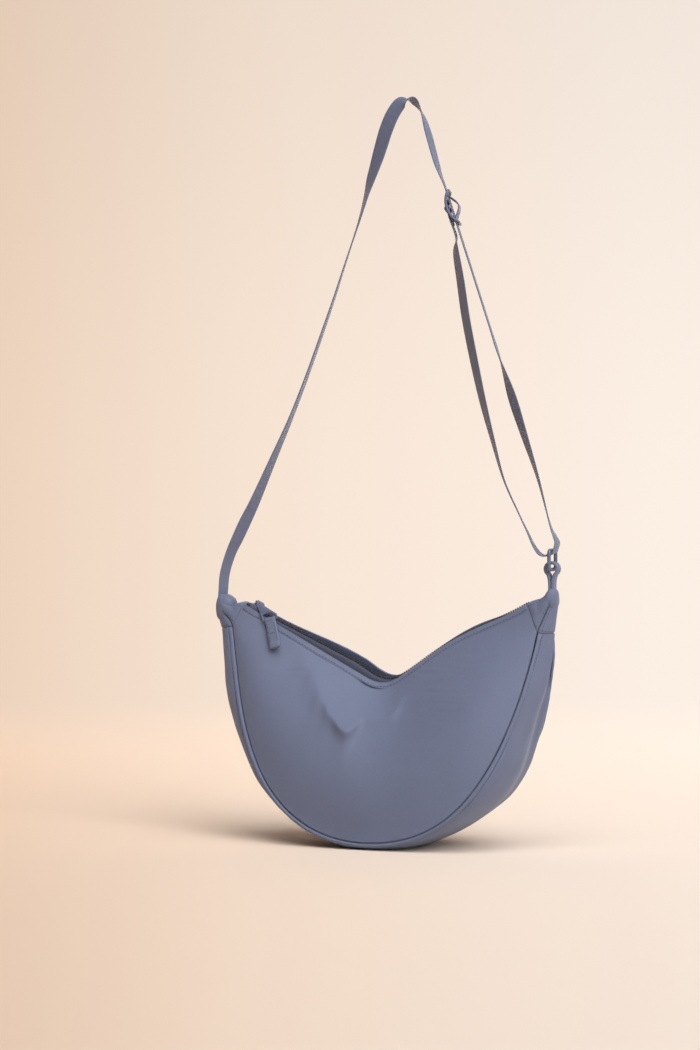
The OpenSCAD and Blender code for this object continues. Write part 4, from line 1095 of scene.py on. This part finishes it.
def pull_tab():
    th = around(28)
    ox, oy = oval(th, 0.3, 0.55)
    loops = []
    for z, thick, back in TAB_LEVELS:
        x = ox * TAB_W / 2 * (1 - 0.02 * math.sin(z / 2.3)) + TAB_DRIFT * min(z, 0)
        loops.append(tab_pt(vec(x, oy * thick / 2 + back, z)))
    uv = grid_uv([z for z, _, _ in TAB_LEVELS], np.cos(th) * 6)[..., ::-1]
    tube("pull_tab_cloth", loops, M_TRIM, "pull_tab", uv, nodes=("pull_tab",), sharp=80)
    for x, tag in ((-3.7, "left"), (3.7, "right")):
        pts = tab_pt([[x + TAB_DRIFT * z, -1.25, z] for z in np.linspace(-3.5, -23, 12)])
        stitches("pull_tab_stitching_" + tag, pts, 0 * pts - TAB_Y, "pull_tab", pitch=2.5, length=1.9, r=0.26)
    pts = tab_pt([[x + 1.45, -1.3, -14.5] for x in np.linspace(-3.4, 3.4, 8)])
    stitches("pull_tab_stitching_cross", pts, 0 * pts - TAB_Y, "pull_tab", pitch=2.2, length=1.7, r=0.26)


# --- leaf between the link's two legs
# the upper and the lower ends of the link's two legs
KNEES = np.array([[-130.793, -3.76, 225.763], [-126.899, -3.76, 223.939]])
LEADS = np.array([[-120.857, -12.25, 211.278], [-106.851, -12.25, 215.03]])


def link_leaf():
    s, t = np.meshgrid(np.linspace(0.02, 0.98, 19), np.linspace(0, 1, 25), indexing="xy")
    down = (0.02 + t * (0.86 - 0.08 * np.sin(PI * s)))[..., None]
    left = KNEES[0] + (LEADS[0] - KNEES[0]) * down
    right = KNEES[1] + (LEADS[1] - KNEES[1]) * down
    P = left + (right - left) * s[..., None]
    n = unit(np.cross(LEADS[0] - KNEES[0], KNEES[1] - KNEES[0]))
    n = n if n[1] < 0 else -n
    thick = 0.3 + 1.2 * (np.sin(PI * t) * np.clip(4 * s * (1 - s), 0, 1)) ** 0.3
    sheet("pull_link_leaf", P, n, thick, -thick, M_METAL, "pull_link")


pull_tab()
link_leaf()

# --- hard parts that keep their CAD form
for name in ("zip_slider_body", "pull_link", "strap_ring"):
    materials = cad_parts[name].data.materials
    materials.clear()
    materials.append(M_METAL)
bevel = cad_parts["zip_slider_body"].modifiers.new("soft_edges", "BEVEL")
bevel.width = 0.00022
bevel.segments = 2
bevel.limit_method = "ANGLE"
bevel.angle_limit = math.radians(40)

# --- floor and backdrop, in metres
VIEW_TURN = math.radians(22)
AHEAD = np.array([-math.sin(VIEW_TURN), math.cos(VIEW_TURN)])
ACROSS = np.array([math.cos(VIEW_TURN), math.sin(VIEW_TURN)])
PAPER_NEAR, PAPER_FAR, PAPER_HALF, PAPER_TOP, SWEEP_R = -3.4, 2.2, 6.0, 6.0, 1.8
PAPER_GAIN = (0.93, 0.93, 0.93)
# tone of the paper from left to right, with painted shade: darker on the left, away from the light, and paler
# on the right
PAPER_TONE_AND_SHADE = ((0.0, (0.76, 0.55, 0.40)), (0.25, (0.845, 0.655, 0.515)), (0.42, (0.925, 0.765, 0.640)),
               (0.55, (0.955, 0.815, 0.705)), (0.75, (0.975, 0.868, 0.785)), (1.0, (0.97, 0.88, 0.81)))


def paper_material():
    mat = bpy.data.materials.new("studio_paper")
    mat.use_nodes = True
    tree = mat.node_tree
    tree.nodes.clear()
    position = node(tree, "ShaderNodeNewGeometry").outputs["Position"]
    px, py, pz = node(tree, "ShaderNodeSeparateXYZ", {0: position}).outputs

    def plane(along, offset):
        """Distance along a direction on the floor, plus an offset."""
        part = math_node(tree, "MULTIPLY_ADD", px, along[0], offset)
        return math_node(tree, "ADD", part, math_node(tree, "MULTIPLY", py, along[1]))

    depth = plane(AHEAD, 2.63)
    fan = math_node(tree, "DIVIDE", plane(ACROSS, 0.034), math_node(tree, "MULTIPLY", depth, 0.125))
    ramp = node(tree, "ShaderNodeValToRGB", {0: math_node(tree, "MULTIPLY_ADD", fan, 0.25, 0.5)})
    stops = ramp.color_ramp.elements
    stops[0].color, stops[1].color = (*PAPER_TONE_AND_SHADE[0][1], 1), (*PAPER_TONE_AND_SHADE[-1][1], 1)
    for at, color in PAPER_TONE_AND_SHADE[1:-1]:
        stops.new(at).color = (*color, 1)
    # painted shade: the tone falls with height on the paper and towards the front of the floor
    height_shade = map_range(tree, pz, 0.3, 1.9, 1.0, 0.90)
    near = map_range(tree, depth, 1.5, 4.2, 0.905, 1.0)
    tone = scaled(tree, ramp.outputs[0], math_node(tree, "MULTIPLY", height_shade, near))
    # the camera sees the far part at an even tone, whatever light falls on it
    glow = node(tree, "ShaderNodeEmission", {0: tone})
    albedo = node(tree, "ShaderNodeVectorMath", {0: tone, 1: PAPER_GAIN}, operation="MULTIPLY")
    paper = node(tree, "ShaderNodeBsdfDiffuse", {0: albedo.outputs[0]})
    seen = node(tree, "ShaderNodeLightPath").outputs["Is Camera Ray"]
    share = math_node(tree, "MULTIPLY", map_range(tree, depth, 3.3, 4.6), seen)
    both = node(tree, "ShaderNodeMixShader", {0: share, 1: paper.outputs[0], 2: glow.outputs[0]})
    node(tree, "ShaderNodeOutputMaterial", {0: both.outputs[0]})
    return mat


def studio_floor():
    sweep = np.radians(np.linspace(3, 90, 30))
    deep = np.concatenate([np.linspace(PAPER_NEAR, PAPER_FAR, 29), PAPER_FAR + SWEEP_R * np.sin(sweep)])
    high = np.concatenate([np.zeros(29), SWEEP_R * (1 - np.cos(sweep)), [PAPER_TOP]])
    deep = np.append(deep, deep[-1])
    verts = [(*(AHEAD * d + ACROSS * s), z) for d, z in zip(deep, high) for s in (-PAPER_HALF, 0, PAPER_HALF)]
    faces = [(i * 3 + j, i * 3 + j + 1, (i + 1) * 3 + j + 1, (i + 1) * 3 + j)
             for i in range(len(deep) - 1) for j in range(2)]
    me = bpy.data.meshes.new("studio_floor")
    me.from_pydata(verts, [], faces)
    me.shade_smooth()
    me.materials.append(paper_material())
    floor = add("studio_floor", me)


studio_floor()


# --- light
def sun(name, az, elevation, strength, angle, color):
    """A distant soft light, seen from the bag at an azimuth measured like the camera's."""
    a, e = math.radians(az), math.radians(elevation)
    li = bpy.data.lights.new(name, "SUN")
    li.energy = strength
    li.angle = math.radians(angle)
    li.color = color
    ob = add(name, li)
    d = Vector((math.sin(a) * math.cos(e), -math.cos(a) * math.cos(e), math.sin(e)))
    ob.location = d * 3
    ob.rotation_euler = (-d).to_track_quat("-Z", "Y").to_euler()


def room():
    """A weak even light; past the paper the camera sees a pale room, which gives no more light."""
    world = bpy.data.worlds.new("studio")
    bpy.context.scene.world = world
    world.use_nodes = True
    tree = world.node_tree
    even = tree.nodes["Background"]
    even.inputs[0].default_value = (1.0, 0.96, 0.92, 1)
    even.inputs[1].default_value = 0.08
    pale = node(tree, "ShaderNodeBackground", {0: (0.80, 0.66, 0.53, 1), 1: 1.0})
    seen = node(tree, "ShaderNodeLightPath").outputs["Is Camera Ray"]
    both = node(tree, "ShaderNodeMixShader", {0: seen, 1: even.outputs[0], 2: pale.outputs[0]})
    tree.links.new(both.outputs[0], tree.nodes["World Output"].inputs[0])


sun("key", 50, 30, 2.1, 38, (1.0, 0.985, 0.965))
sun("top", 18, 62, 1.6, 44, (1.0, 0.985, 0.97))
sun("side", 85, 62, 0.5, 40, (1.0, 0.985, 0.97))
room()

# --- camera
cam = bpy.data.cameras.new("camera")
cam.sensor_fit = "VERTICAL"
cam.sensor_height = 36
cam.lens = 96.0
cam.clip_start = 0.05
cam.clip_end = 50
cam_ob = add("camera", cam)
cam_ob.location = (0.95389, -2.45038, 0.32296)
cam_ob.rotation_euler = (math.radians(90 - 0.5), 0, VIEW_TURN)
bpy.context.scene.camera = cam_ob
bpy.context.scene.view_settings.view_transform = "Standard"
